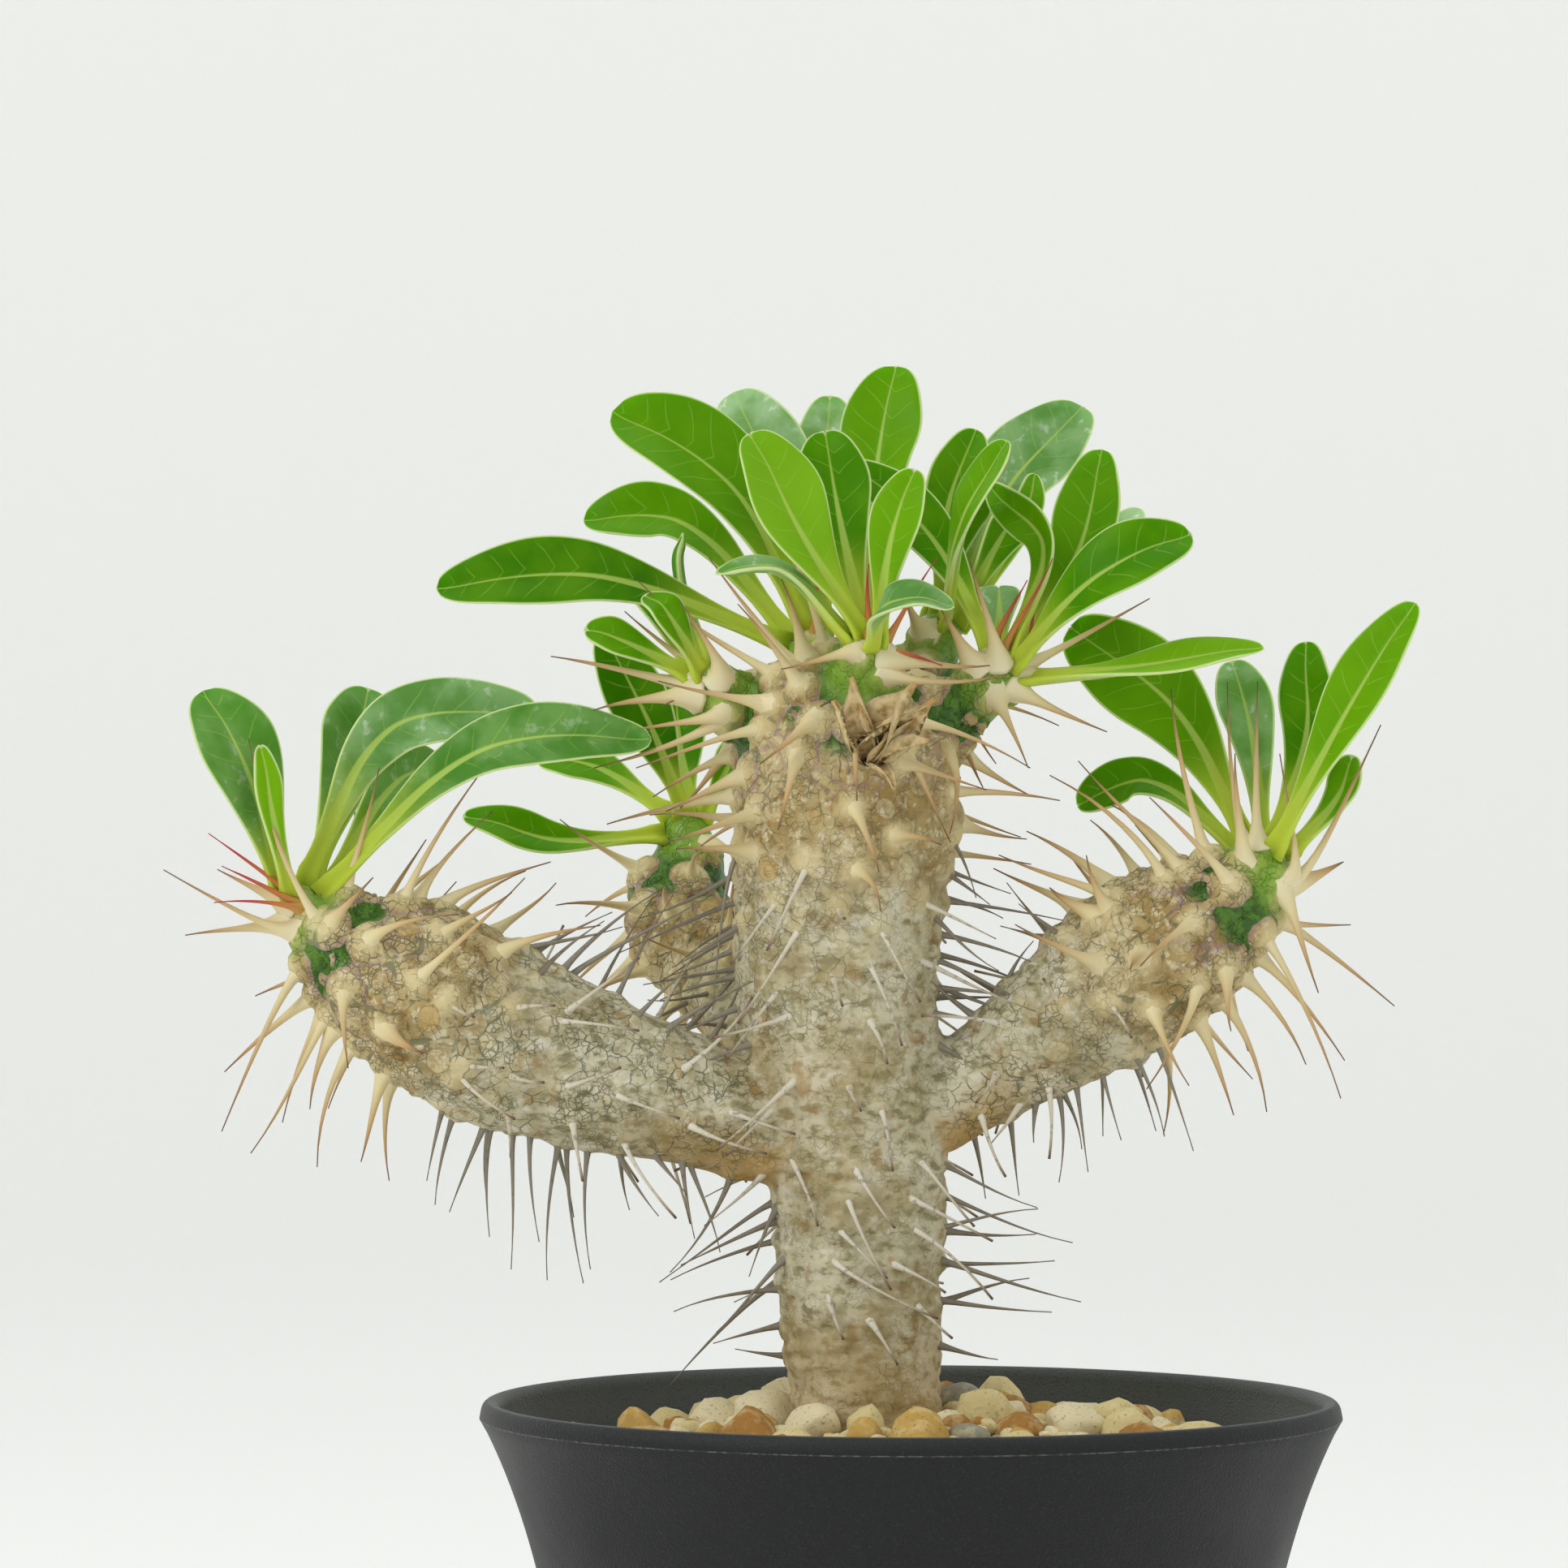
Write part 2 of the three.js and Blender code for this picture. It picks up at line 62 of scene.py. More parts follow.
COLLAR = np.array((-6.0, 0.0, 95.0))  # the stem's collar, from the centre of the pot's underside

Attributes = dict[str, np.ndarray]
Socket = bpy.types.NodeSocket
Adder = Callable[..., Socket]
Layer = tuple[Socket, float, float]
Ends = tuple[float, float, float, float]
Stops = tuple[tuple[float, str], ...]


# ---------------------------------------------------------------- shared tools
def linear(colour: str) -> tuple[float, float, float, float]:
    """Turns an sRGB hex colour into linear RGBA.

    Args:
        colour: six hex digits, such as "a1976f".

    Returns:
        The linear red, green, blue and an alpha of 1.
    """
    parts = [int(colour[i : i + 2], 16) / 255 for i in (0, 2, 4)]
    curve = [p / 12.92 if p <= 0.04045 else ((p + 0.055) / 1.055) ** 2.4 for p in parts]
    return (*curve, 1.0)


class Kind(Enum):
    """The shader nodes that the finishes use, each as its type, its fixed settings, its inputs in the
    order that their values are given in, and its output."""

    PLACE = ("TexCoord", {}, (), "Object")
    STORED = ("Attribute", {}, (), "Fac")
    HEIGHT = ("SeparateXYZ", {}, ("Vector",), "Z")
    STRETCH = ("Mapping", {}, ("Vector", "Scale"), "Vector")
    NOISE = ("TexNoise", {}, ("Vector", "Scale", "Detail"), "Fac")
    WANDER = ("TexNoise", {}, ("Vector", "Scale", "Detail"), "Color")
    CELLS = ("TexVoronoi", {"feature": "DISTANCE_TO_EDGE"}, ("Vector", "Scale"), "Distance")
    RAMP = ("ValToRGB", {}, ("Fac",), "Color")
    MIX = ("Mix", {"data_type": "RGBA"}, (0, 6, 7), 2)
    CUT = ("MapRange", {"interpolation_type": "SMOOTHSTEP"}, (0, 1, 2, 3, 4), 0)
    TIMES = ("Math", {"operation": "MULTIPLY"}, (0, 1), 0)
    PLUS = ("Math", {"operation": "ADD"}, (0, 1), 0)
    MINUS = ("Math", {"operation": "SUBTRACT"}, (0, 1), 0)
    LARGER = ("Math", {"operation": "MAXIMUM"}, (0, 1), 0)
    SIZE = ("Math", {"operation": "ABSOLUTE"}, (0,), 0)
    FOLD = ("Math", {"operation": "PINGPONG"}, (0, 1), 0)
    BUMP = ("Bump", {}, ("Height", "Strength", "Distance", "Normal"), "Normal")


def add_node(
    tree: bpy.types.NodeTree,
    kind: Kind,
    *values: Socket | float | str | tuple[float, ...],
    stops: Sequence[tuple[float, str]] = (),
    **settings: str,
) -> Socket:
    """Adds one shader node with its settings and links.

    Args:
        tree: the material's node tree.
        kind: what the node does.
        values: its inputs in order: a socket to link, a number, a vector or a hex colour.
        stops: the places and hex colours of a colour ramp.
        settings: node properties of its own.

    Returns:
        The node's output.
    """
    type_name, fixed, inputs, output = kind.value
    made = tree.nodes.new("ShaderNode" + type_name)
    for key, value in (fixed | settings).items():
        setattr(made, key, value)
    for key, value in zip(inputs, values):
        if isinstance(value, Socket):
            tree.links.new(value, made.inputs[key])
        else:
            made.inputs[key].default_value = linear(value) if isinstance(value, str) else value
    for number, (place, colour) in enumerate(stops):
        ramp = made.color_ramp.elements
        stop = ramp[number] if number < 2 else ramp.new(place)
        stop.position, stop.color = place, linear(colour)
    return made.outputs[output]


def grain(add: Adder, size: float, detail: float = 3, place: Socket | None = None) -> Socket:
    """Adds soft noise, from 0 to 1.

    Args:
        add: adds a node to the material.
        size: the width of a lump, in millimetres.
        detail: how many finer layers are added.
        place: the coordinates, where they aren't the object's own.

    Returns:
        The noise.
    """
    return add(Kind.NOISE, place or add(Kind.PLACE), 1 / (size * MM), detail)


def coat(add: Adder, colour: Socket | str, *coats: tuple[Socket, Ends, Socket | str]) -> Socket:
    """Lays coats of colour over one another.

    Args:
        add: adds a node to the material.
        colour: the colour underneath.
        coats: each coat's measure, the measure's low and high with the cover at each, and its colour.

    Returns:
        The colour that shows.
    """
    for measure, ends, cover in coats:
        colour = add(Kind.MIX, add(Kind.CUT, measure, *ends), colour, cover)
    return colour


def both(add: Adder, first: tuple[Socket, Ends], *others: tuple[Socket, Ends]) -> Socket:
    """Gives how far several conditions hold together, each a measure cut to its ends."""
    share = add(Kind.CUT, first[0], *first[1])
    for measure, ends in others:
        share = add(Kind.TIMES, share, add(Kind.CUT, measure, *ends))
    return share


def smooth_step(low: float, high: float, value: np.ndarray | float) -> np.ndarray | float:
    """Rises smoothly from 0 at low to 1 at high."""
    share = np.clip((value - low) / (high - low), 0.0, 1.0)
    return share * share * (3 - 2 * share)


def unit(vectors: np.ndarray) -> np.ndarray:
    """Scales vectors to length 1."""
    length = np.linalg.norm(vectors, axis=-1, keepdims=True)
    return vectors / np.maximum(length, 1e-12)


def hermite(places: np.ndarray, values: np.ndarray, at: np.ndarray) -> np.ndarray:
    """Runs a smooth curve through values that are known at uneven places.

    Args:
        places: rising parameters, one for each value.
        values: one row of numbers for each place.
        at: the parameters to read the curve at.

    Returns:
        One row of numbers for each parameter in at.
    """
    slopes = np.gradient(values, places, axis=0)
    left = np.clip(np.searchsorted(places, at, side="right") - 1, 0, len(places) - 2)
    span = (places[left + 1] - places[left])[:, None]
    t = (at - places[left])[:, None] / span
    return (
        (1 + 2 * t) * (1 - t) ** 2 * values[left]
        + t * (1 - t) ** 2 * span * slopes[left]
        + t**2 * (3 - 2 * t) * values[left + 1]
        + t**2 * (t - 1) * span * slopes[left + 1]
    )


def grid_faces(rings: int, across: int, start: int = 0) -> list[tuple[int, ...]]:
    """Lists the four-sided faces between closed rings of equally many points.

    Args:
        rings: how many rings there are.
        across: how many points a ring has.
        start: the number of the first ring's first point.

    Returns:
        The faces, each as four point numbers.
    """
    faces = []
    for ring in range(rings - 1):
        for i in range(across):
            here, there = start + ring * across, start + (ring + 1) * across
            after = (i + 1) % across
            faces.append((here + i, here + after, there + after, there + i))
    return faces


def tube_faces(rings: int, across: int, start: int = 0) -> list[tuple[int, ...]]:
    """Lists the faces of a tube that is closed at both ends, as grid_faces does for an open one."""
    first, last = (range(end, end + across) for end in (start, start + (rings - 1) * across))
    return [*grid_faces(rings, across, start), tuple(first)[::-1], tuple(last)]


def full_turn(sides: int) -> np.ndarray:
    """Lists the angles of a ring's points."""
    return np.linspace(0, 2 * math.pi, sides, endpoint=False)


def make_object(
    name: str, points: np.ndarray, faces: Iterable[Sequence[int]], attributes: Attributes | None = None
) -> bpy.types.Object:
    """Makes a smooth-shaded mesh object from points in millimetres.

    Args:
        name: the object's name.
        points: one row for each vertex, in millimetres.
        faces: the vertex numbers of each face.
        attributes: one number for each vertex, by attribute name.

    Returns:
        The object, linked to the scene.
    """
    mesh = bpy.data.meshes.new(name)
    mesh.from_pydata((points * MM).tolist(), [], [tuple(int(i) for i in face) for face in faces])
    for key, values in (attributes or {}).items():
        set_values(mesh, key, values)
    mesh.shade_smooth()
    made = bpy.data.objects.new(name, mesh)
    bpy.context.scene.collection.objects.link(made)
    return made


def apply_modifiers(obj: bpy.types.Object) -> None:
    """Turns an object's modifiers into its mesh."""
    graph = bpy.context.evaluated_depsgraph_get()
    mesh = bpy.data.meshes.new_from_object(obj.evaluated_get(graph))
    obj.modifiers.clear()
    obj.data = mesh


def set_values(mesh: bpy.types.Mesh, name: str, values: np.ndarray) -> None:
    """Stores one number for each vertex under a name."""
    mesh.attributes.new(name, "FLOAT", "POINT").data.foreach_set("value", np.asarray(values, np.float32))


def vertex_places(mesh: bpy.types.Mesh) -> np.ndarray:
    """Reads a mesh's vertices in millimetres."""
    places = np.empty(len(mesh.vertices) * 3, np.float32)
    mesh.vertices.foreach_get("co", places)
    return places.reshape(-1, 3).astype(float) / MM


def vertex_normals(mesh: bpy.types.Mesh) -> np.ndarray:
    """Reads a mesh's vertex normals."""
    normals = np.empty(len(mesh.vertices) * 3, np.float32)
    mesh.vertex_normals.foreach_get("vector", normals)
    return normals.reshape(-1, 3).astype(float)


def noise_at(places: np.ndarray, size: float | Sequence[float], seed: int) -> np.ndarray:
    """Samples smooth noise, from -1 to 1.

    Args:
        places: points in millimetres.
        size: the width of one lump, or its width along x, y and z.
        seed: moves the pattern elsewhere.

    Returns:
        One number for each point.
    """
    scaled = places / np.asarray(size, float) + 17.3 * seed
    return np.array([noise.noise(point) for point in scaled.tolist()])


def nearest_two(places: np.ndarray, centres: Sequence[np.ndarray]) -> np.ndarray:
    """Measures how far each point is from its nearest and its second nearest centre.

    Args:
        places: points in millimetres.
        centres: two centres or more.

    Returns:
        The shorter distance, the longer one, and how far apart the two centres are, for each point.
    """
    finder = kdtree.KDTree(len(centres))
    for number, centre in enumerate(centres):
        finder.insert(centre, number)
    finder.balance()
    found = (finder.find_n(point, 2) for point in places.tolist())
    return np.array([(near[2], far[2], (near[0] - far[0]).length) for near, far in found])


def face_out(obj: bpy.types.Object) -> None:
    """Turns a closed mesh's faces outwards."""
    shape = bmesh.new()
    shape.from_mesh(obj.data)
    bmesh.ops.recalc_face_normals(shape, faces=shape.faces)
    shape.to_mesh(obj.data)
    shape.free()


def hand_in(
    obj: bpy.types.Object, material: bpy.types.Material, replaced: Sequence[str] = ()
) -> None:
    """Gives a finished piece its material, its body and its place in the record.

    Args:
        obj: the finished piece.
        material: what it is made of.
        replaced: the CAD nodes that it stands for.
    """
    obj.data.materials.clear()
    obj.data.materials.append(material)
    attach(obj, BODY)
    if replaced:
        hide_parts(*replaced)
    LOG.info("%s: %d vertices, finish %s", obj.name, len(obj.data.vertices), material.name)


# ---------------------------------------------------------------- finishes
@dataclass(frozen=True)
class Finish:
    """A material that starts as one Principled surface."""

    name: str
    roughness: float
    ior: float = 1.5

    def start(self) -> tuple[bpy.types.Material, Adder, bpy.types.Node]:
        """Makes the bare material.

        Returns:
            The material, the function that adds a node to it, and its Principled node.
        """
        material = bpy.data.materials.new(self.name)
        material.use_nodes = True
        surface = material.node_tree.nodes["Principled BSDF"]
        surface.inputs["Roughness"].default_value = self.roughness
        surface.inputs["IOR"].default_value = self.ior
        return material, partial(add_node, material.node_tree), surface

    @staticmethod
    def connect(surface: bpy.types.Node, **sockets: Socket) -> None:
        """Links sockets to a surface's inputs, named as the inputs with _ for a space."""
        for key, socket in sockets.items():
            surface.id_data.links.new(socket, surface.inputs[key.replace("_", " ")])

    @classmethod
    def emboss(cls, add: Adder, surface: bpy.types.Node, layers: Sequence[Layer]) -> None:
        """Lays relief over a surface, one layer on another.

        Args:
            add: adds a node to the material.
            surface: the shader that takes the relief.
            layers: each layer's height socket, strength, and depth in millimetres.
        """
        below: tuple[Socket, ...] = ()
        for height, strength, depth in layers:
            below = (add(Kind.BUMP, height, strength, depth * MM, *below),)
        cls.connect(surface, Normal=below[0])


@dataclass(frozen=True)
class Bark(Finish):
    """Euphorbia bark, grown. Young skin is glossy green windows between tan corky shields, older skin
    a corky tan crust, and the oldest a smooth grey-beige skin with a net of hairline cracks. To the
    eye it is dry and matt, warm near the tips and paler and greyer towards the trunk."""

    crack_cell: float = 2.3  # from crack to crack in the coarse net
    fine_cell: float = 2.3 / 2.2
    window_gap: float = 3.05  # how far from a spine's foot the green windows start
    window_roughness: float = 0.35

    def build(self) -> bpy.types.Material:
        """Builds the material."""
        material, add, surface = self.start()
        age, gap, border, disc, ochre, warm, cracked = (
            add(Kind.STORED, attribute_name=name)
            for name in ("age", "gap", "border", "disc", "ochre", "warm", "cracked")
        )
        broad, fine, spot = grain(add, 9), grain(add, 1.5, 6), grain(add, 2.4, 4)
        wander = add(Kind.TIMES, add(Kind.MINUS, grain(add, 3), 0.5), 1.8)
        gap, border = (add(Kind.PLUS, value, wander) for value in (gap, border))
        disc = add(Kind.PLUS, disc, add(Kind.TIMES, wander, 0.45))

        crack = add(Kind.TIMES, self.crack_lines(add, age, border), cracked)
        crust = coat(add, "a08650", (broad, (0.35, 0.65, 0, 1), "c4af79"),
                     (fine, (0.52, 0.66, 0, 0.7), "e6dab4"), (spot, (0.55, 0.68, 0, 0.8), "94702f"))
        old = add(Kind.PLUS, add(Kind.CUT, age, 0.3, 0.58, 0, 1), add(Kind.CUT, broad, 0.3, 0.7, -0.25, 0.25))
        skin = add(Kind.MIX, old, crust, self.grey_skin(add, fine, broad, warm))

        # Horn flows from each spine's foot over its shield.
        horn = both(add, (gap, (0.6, 3.0, 0.85, 0)), (age, (0.35, 0.7, 1, 0.15)))
        skin = add(Kind.MIX, horn, skin, "ddcd9c")
        crack = add(Kind.TIMES, crack, add(Kind.CUT, horn, 0.25, 0.75, 1, 0.4))
        skin = add(Kind.MIX, crack, skin, "6a7354")
        skin = self.scars(add, skin, disc, ochre, age)

        # Green windows stay open only where no shield has closed over the young skin.
        start = self.window_gap
        bare = both(add, (gap, (start, start + 0.15, 0, 1)), (disc, (1.0, 1.1, 0, 1)),
                    (age, (0.16, 0.21, 1, 0)))
        blush = both(add, (age, (0.2, 0.36, 0.42, 0)), (gap, (start - 0.45, start - 0.2, 0, 1)),
                     (gap, (start + 0.1, start + 0.3, 1, 0)))
        fresh = both(add, (age, (0.04, 0.11, 0.85, 0)), (gap, (1.3, 2.3, 0.3, 1)))
        skin = add(Kind.MIX, blush, skin, "a07d8c")
        skin = add(Kind.MIX, bare, skin, coat(add, "315a08", (fine, (0.4, 0.65, 0, 1), "4f7d18")))
        skin = add(Kind.MIX, fresh, skin, "86ae36")
        rough = add(Kind.CUT, bare, 0, 1, self.roughness, self.window_roughness)
        self.connect(surface, Base_Color=skin, Roughness=rough)
        crusty = add(Kind.CUT, age, 0.4, 0.75, 1, 0.25)
        self.emboss(add, surface, (
            (add(Kind.TIMES, fine, crusty), 0.7, 0.5),
            (add(Kind.MINUS, 1.0, crack), 0.8, 0.3),
        ))
        return material

    @staticmethod
    def grey_skin(add: Adder, fine: Socket, broad: Socket, warm: Socket) -> Socket:
        """Colours the old skin: beige with greenish and whitish clouds, lying in soft rings.

        Args:
            add: adds a node to the material.
            fine: small noise.
            broad: large noise.
            warm: where the skin is painted warm brown: painted shade under the branches near the fork, and
                warmer and browner towards the bottom of the trunk.

        Returns:
            The colour.
        """
        streak = grain(add, 1.1, 4, add(Kind.STRETCH, add(Kind.PLACE), (0.42, 0.42, 0.85)))
        grey = coat(
            add, "b2a985", (broad, (0.35, 0.65, 0, 1), "d1caae"),
            (streak, (0.52, 0.72, 0, 0.65), "e2ddcd"), (streak, (0.48, 0.33, 0, 0.85), "817954"),
            (fine, (0.5, 0.34, 0, 0.6), "90875f"), (grain(add, 3.4), (0.58, 0.7, 0, 0.65), "9c7840"),
        )
        # Painted shade under the branches near the fork, and a warmer brown towards the bottom of the trunk.
        return add(Kind.MIX, add(Kind.TIMES, warm, 0.85), grey, "b8924a")

    def crack_lines(self, add: Adder, age: Socket, border: Socket) -> Socket:
        """Draws the hairline cracks: two nets on the old skin, and seams between the shields.

        Args:
            add: adds a node to the material.
            age: how old the skin is.
            border: how far it is to the nearest seam between two shields.

        Returns:
            How much of a crack shows, from 0 to 1.
        """
        height = add(Kind.HEIGHT, add(Kind.PLACE))
        broken = add(Kind.CUT, grain(add, 1.7, 2), 0.36, 0.52, 0.15, 1)
        net = both(add, (self.cracks(add, self.crack_cell), (0.0, 0.05, 0.85, 0)),
                   (grain(add, 8, 2), (0.4, 0.55, 0.3, 1)), (height, (0.125, 0.145, 0.2, 1)))
        hair = both(add, (self.cracks(add, self.fine_cell), (0.0, 0.07, 0.9, 0)),
                    (grain(add, 6, 2), (0.46, 0.56, 0.1, 0.8)))
        seam = both(add, (border, (0.0, 0.35, 0.8, 0)), (age, (0.4, 0.6, 1, 0)))
        nets = add(Kind.TIMES, broken, add(Kind.LARGER, net, hair))
        return add(Kind.LARGER, nets, seam)

    @staticmethod
    def scars(add: Adder, skin: Socket, disc: Socket, ochre: Socket, age: Socket) -> Socket:
        """Draws the leaf scars: outlined discs, ochre where they are deep and pale elsewhere.

        Args:
            add: adds a node to the material.
            skin: the colour under them.
            disc: how far it is to a scar's middle, as a share of the scar's radius.
            ochre: how ochre the nearest scar is.
            age: how old the skin is.

        Returns:
            The colour with the scars on it.
        """
        pits = grain(add, 0.9, 4)
        face = coat(add, add(Kind.MIX, ochre, "ddd3ab", "c3a566"), (pits, (0.42, 0.62, 0, 0.6), "a3884f"))
        shown = (age, (0.55, 0.7, 0.9, 0)), (ochre, (0.0, 0.6, 0.5, 1))
        skin = add(Kind.MIX, both(add, (disc, (0.88, 0.96, 1, 0)), *shown), skin, face)
        off = add(Kind.SIZE, add(Kind.MINUS, disc, 0.95))
        return add(Kind.MIX, both(add, (off, (0.02, 0.12, 0.5, 0)), *shown), skin, "85713f")

    @staticmethod
    def cracks(add: Adder, cell: float) -> Socket:
        """Gives the distance to the nearest crack of an uneven network.

        Args:
            add: adds a node to the material.
            cell: the distance from crack to crack, in millimetres.

        Returns:
            The distance, as a share of the cell.
        """
        place = add(Kind.PLACE)
        wander = add(Kind.WANDER, place, 1 / (1.3 * cell * MM), 3)
        return add(Kind.CELLS, add(Kind.MIX, 1.1 * cell * MM, place, wander), 1 / (cell * MM))


@dataclass(frozen=True)
class LeafSkin(Finish):
    """Euphorbia leaf, grown. A smooth waxy cuticle over fresh green flesh gives a satin sheen, a pale
    midrib and sparse pale veins, a thin cream margin, and light that glows through the blade."""

    vein_share: float = 0.24
    waxy_roughness: float = 0.6
    specular: float = 0.07
    subsurface: float = 0.35
    subsurface_depth: float = 1.2
    subsurface_tint: tuple[float, float, float] = (0.5, 1.0, 0.15)
    greens: Stops = ((0.0, "2f6e00"), (1.0, "a6d050"), (0.35, "4b8c00"), (0.7, "7cb410"))

    def build(self) -> bpy.types.Material:
        """Builds the material."""
        material, add, surface = self.start()
        along, mid, margin, rib, vein, tone, bloom, upper = (
            add(Kind.STORED, attribute_name=name)
            for name in ("along", "off_mid", "off_margin", "rib", "vein", "tone", "bloom", "upper")
        )
        broad, fine = grain(add, 7), grain(add, 0.6, 2)
        green = coat(add, add(Kind.RAMP, tone, stops=self.greens), (broad, (0.35, 0.7, 0, 0.3), "7bb00c"),
                     (along, (0.6, 1.0, 0, 0.2), "3f8200"))
        waxy = add(Kind.TIMES, bloom, add(Kind.CUT, broad, 0.35, 0.62, 0.35, 1))
        green = add(Kind.MIX, waxy, green, "bcd8b0")
        # Near-white streaks on the waxy leaves: smears of wax, and also a painted sheen of the bright light
        # above.
        wax_smear_and_sheen = both(add, (grain(add, 1.6, 6), (0.55, 0.66, 0, 1)), (broad, (0.45, 0.6, 0, 1)))
        green = add(Kind.MIX, add(Kind.TIMES, bloom, wax_smear_and_sheen), green, "e6efe2")
        under = add(Kind.MIX, 0.35, green, "93b840")
        green = add(Kind.MIX, upper, under, green)

        lines = add(Kind.CUT, add(Kind.FOLD, vein, 0.5), 0.0, 0.05, 1, 0)
        fade = add(Kind.CUT, margin, 0.4, 2.2, 0, self.vein_share)
        green = add(Kind.MIX, add(Kind.TIMES, lines, fade), green, "b4d860")
        lit = add(Kind.MINUS, mid, rib)
        green = coat(add, green, (lit, (-0.15, 0.15, 0.72, 0), "bcd468"),
                     (margin, (0.12, 0.42, 0.8, 0), "dbe6a8"), (along, (0.04, 0.42, 0.95, 0), "bccc42"))
        rough = add(Kind.CUT, bloom, 0, 1, self.roughness, self.waxy_roughness)
        self.connect(surface, Base_Color=green, Roughness=rough)
        surface.inputs["Subsurface Weight"].default_value = self.subsurface
        surface.inputs["Specular IOR Level"].default_value = self.specular
        surface.inputs["Subsurface Radius"].default_value = self.subsurface_tint
        surface.inputs["Subsurface Scale"].default_value = self.subsurface_depth * MM
        self.emboss(add, surface, ((fine, 0.12, 0.15), (lines, 0.2, 0.15)))
        return material


@dataclass(frozen=True)
class SpineHorn(Finish):
    """Dried spine horn, grown. New spines are orange with a magenta tip, grown ones cream at the foot
    and brown at the point, and old ones silver grey with dark specks. The eye reads them as hard
    and dry, with a faint polish."""

    new: Stops = ((0.0, "c9a457"), (1.0, "a51a3c"), (0.4, "c9763a"), (0.75, "b8323a"))
    tan: Stops = ((0.0, "e8dfba"), (1.0, "5e3f26"), (0.35, "e0cf9c"), (0.75, "c09a66"))
    old: Stops = ((0.0, "c2baa0"), (1.0, "6a5038"), (0.2, "e0dac8"), (0.8, "c2b79e"))

    def build(self) -> bpy.types.Material:
        """Builds the material."""
        material, add, surface = self.start()
        grown, youth = (add(Kind.STORED, attribute_name=name) for name in ("grown", "youth"))
        fleck = grain(add, 0.9)
        new, tan, old = (add(Kind.RAMP, grown, stops=stops) for stops in (self.new, self.tan, self.old))
        # Old spines that stand out at the sides are painted darker than those that lie on the trunk: painted
        # shade.
        colour = coat(add, old, (fleck, (0.55, 0.68, 0, 0.55), "6b6150"),
                      (youth, (-0.4, -0.15, 0.8, 0), "6b6251"), (youth, (0.1, 0.45, 0, 1), tan),
                      (youth, (0.7, 0.95, 0, 1), new))
        self.connect(surface, Base_Color=colour)
        self.emboss(add, surface, ((fleck, 0.25, 0.12),))
        return material


@dataclass(frozen=True)
class PotPlastic(Finish):
    """Polypropylene, injection moulded with a fine matt texture. It looks deep charcoal with a soft
    sheen that widens at grazing angles, a scuffed pale line along the mould seam, and light dust."""

    seam: float = 102.6
    line: tuple[float, float] = (0.00003, 0.00014)  # how far from the seam its line fades, in metres
    specular: float = 0.34

    def build(self) -> bpy.types.Material:
        """Builds the material."""
        material, add, surface = self.start()
        height = add(Kind.HEIGHT, add(Kind.PLACE))
        cloud, dust = grain(add, 24, 4), grain(add, 0.5, 2)
        # The real moulding grain is about 0.1 mm, and is drawn at 0.35 mm so that it shows.
        grit = grain(add, 0.35, 2)
        outside = add(Kind.STORED, attribute_name="outside")
        # Painted highlight: the top of the lip, above the seam, is painted lighter where the light from above
        # falls on it.
        lip_highlight = (self.seam + 0.3) * MM, (self.seam + 2.2) * MM, 0, 0.55
        colour = coat(add, "0b0d0d", (cloud, (0.35, 0.7, 0, 1), "121414"), (height, lip_highlight, "2b2e30"))
        # Painted light: the inside wall is painted a lighter grey than the outside, to stand in for the light
        # that falls into the pot.
        colour = coat(add, add(Kind.MIX, outside, "505554", colour),
                      (grit, (0.55, 0.7, 0, 0.45), "2a2e30"), (dust, (0.7, 0.8, 0, 0.2), "5a5c58"))
        off = add(Kind.SIZE, add(Kind.MINUS, height, self.seam * MM))
        scuff = both(add, (off, (*self.line, 1, 0)), (grain(add, 0.8, 5), (0.42, 0.58, 0.1, 0.5)))
        colour = add(Kind.MIX, add(Kind.TIMES, scuff, outside), colour, "7b7c78")
        rough = add(Kind.CUT, cloud, 0.3, 0.7, self.roughness - 0.05, self.roughness + 0.08)
        self.connect(surface, Base_Color=colour, Roughness=rough)
        surface.inputs["Specular IOR Level"].default_value = self.specular
        self.emboss(add, surface, ((grit, 0.8, 0.25),))
        return material


@dataclass(frozen=True)
class Stone(Finish):
    """Horticultural pumice and baked clay, crushed and sieved. Each grain has its own colour, cream,
    tan, grey or rust, and a dusty pitted face with no shine."""

    colours: Stops = ()

    def build(self) -> bpy.types.Material:
        """Builds the material."""
        material, add, surface = self.start()
        mottle, pits = grain(add, 1.8, 4), grain(add, 0.5, 2)
        own = add(Kind.RAMP, add(Kind.STORED, attribute_name="stone"), stops=self.colours)
        own.node.color_ramp.interpolation = "CONSTANT"
        colour = coat(add, own, (mottle, (0.45, 0.7, 0, 0.35), "ecdfb0"),
                      (pits, (0.58, 0.72, 0, 0.5), "6d5634"))
        self.connect(surface, Base_Color=colour)
        self.emboss(add, surface, ((mottle, 0.5, 0.5), (pits, 0.4, 0.2)))
        return material


@dataclass(frozen=True)
class PottingMix(Finish):
    """Bark and peat potting mix, mixed and lightly pressed. It is dark, crumbly and quite matt."""

    def build(self) -> bpy.types.Material:
        """Builds the material."""
        material, add, surface = self.start()
        crumb = grain(add, 2.5, 5)
        self.connect(surface, Base_Color=coat(add, "2f2418", (crumb, (0.35, 0.65, 0, 1), "5c4631")))
        self.emboss(add, surface, ((crumb, 0.8, 1.0),))
        return material


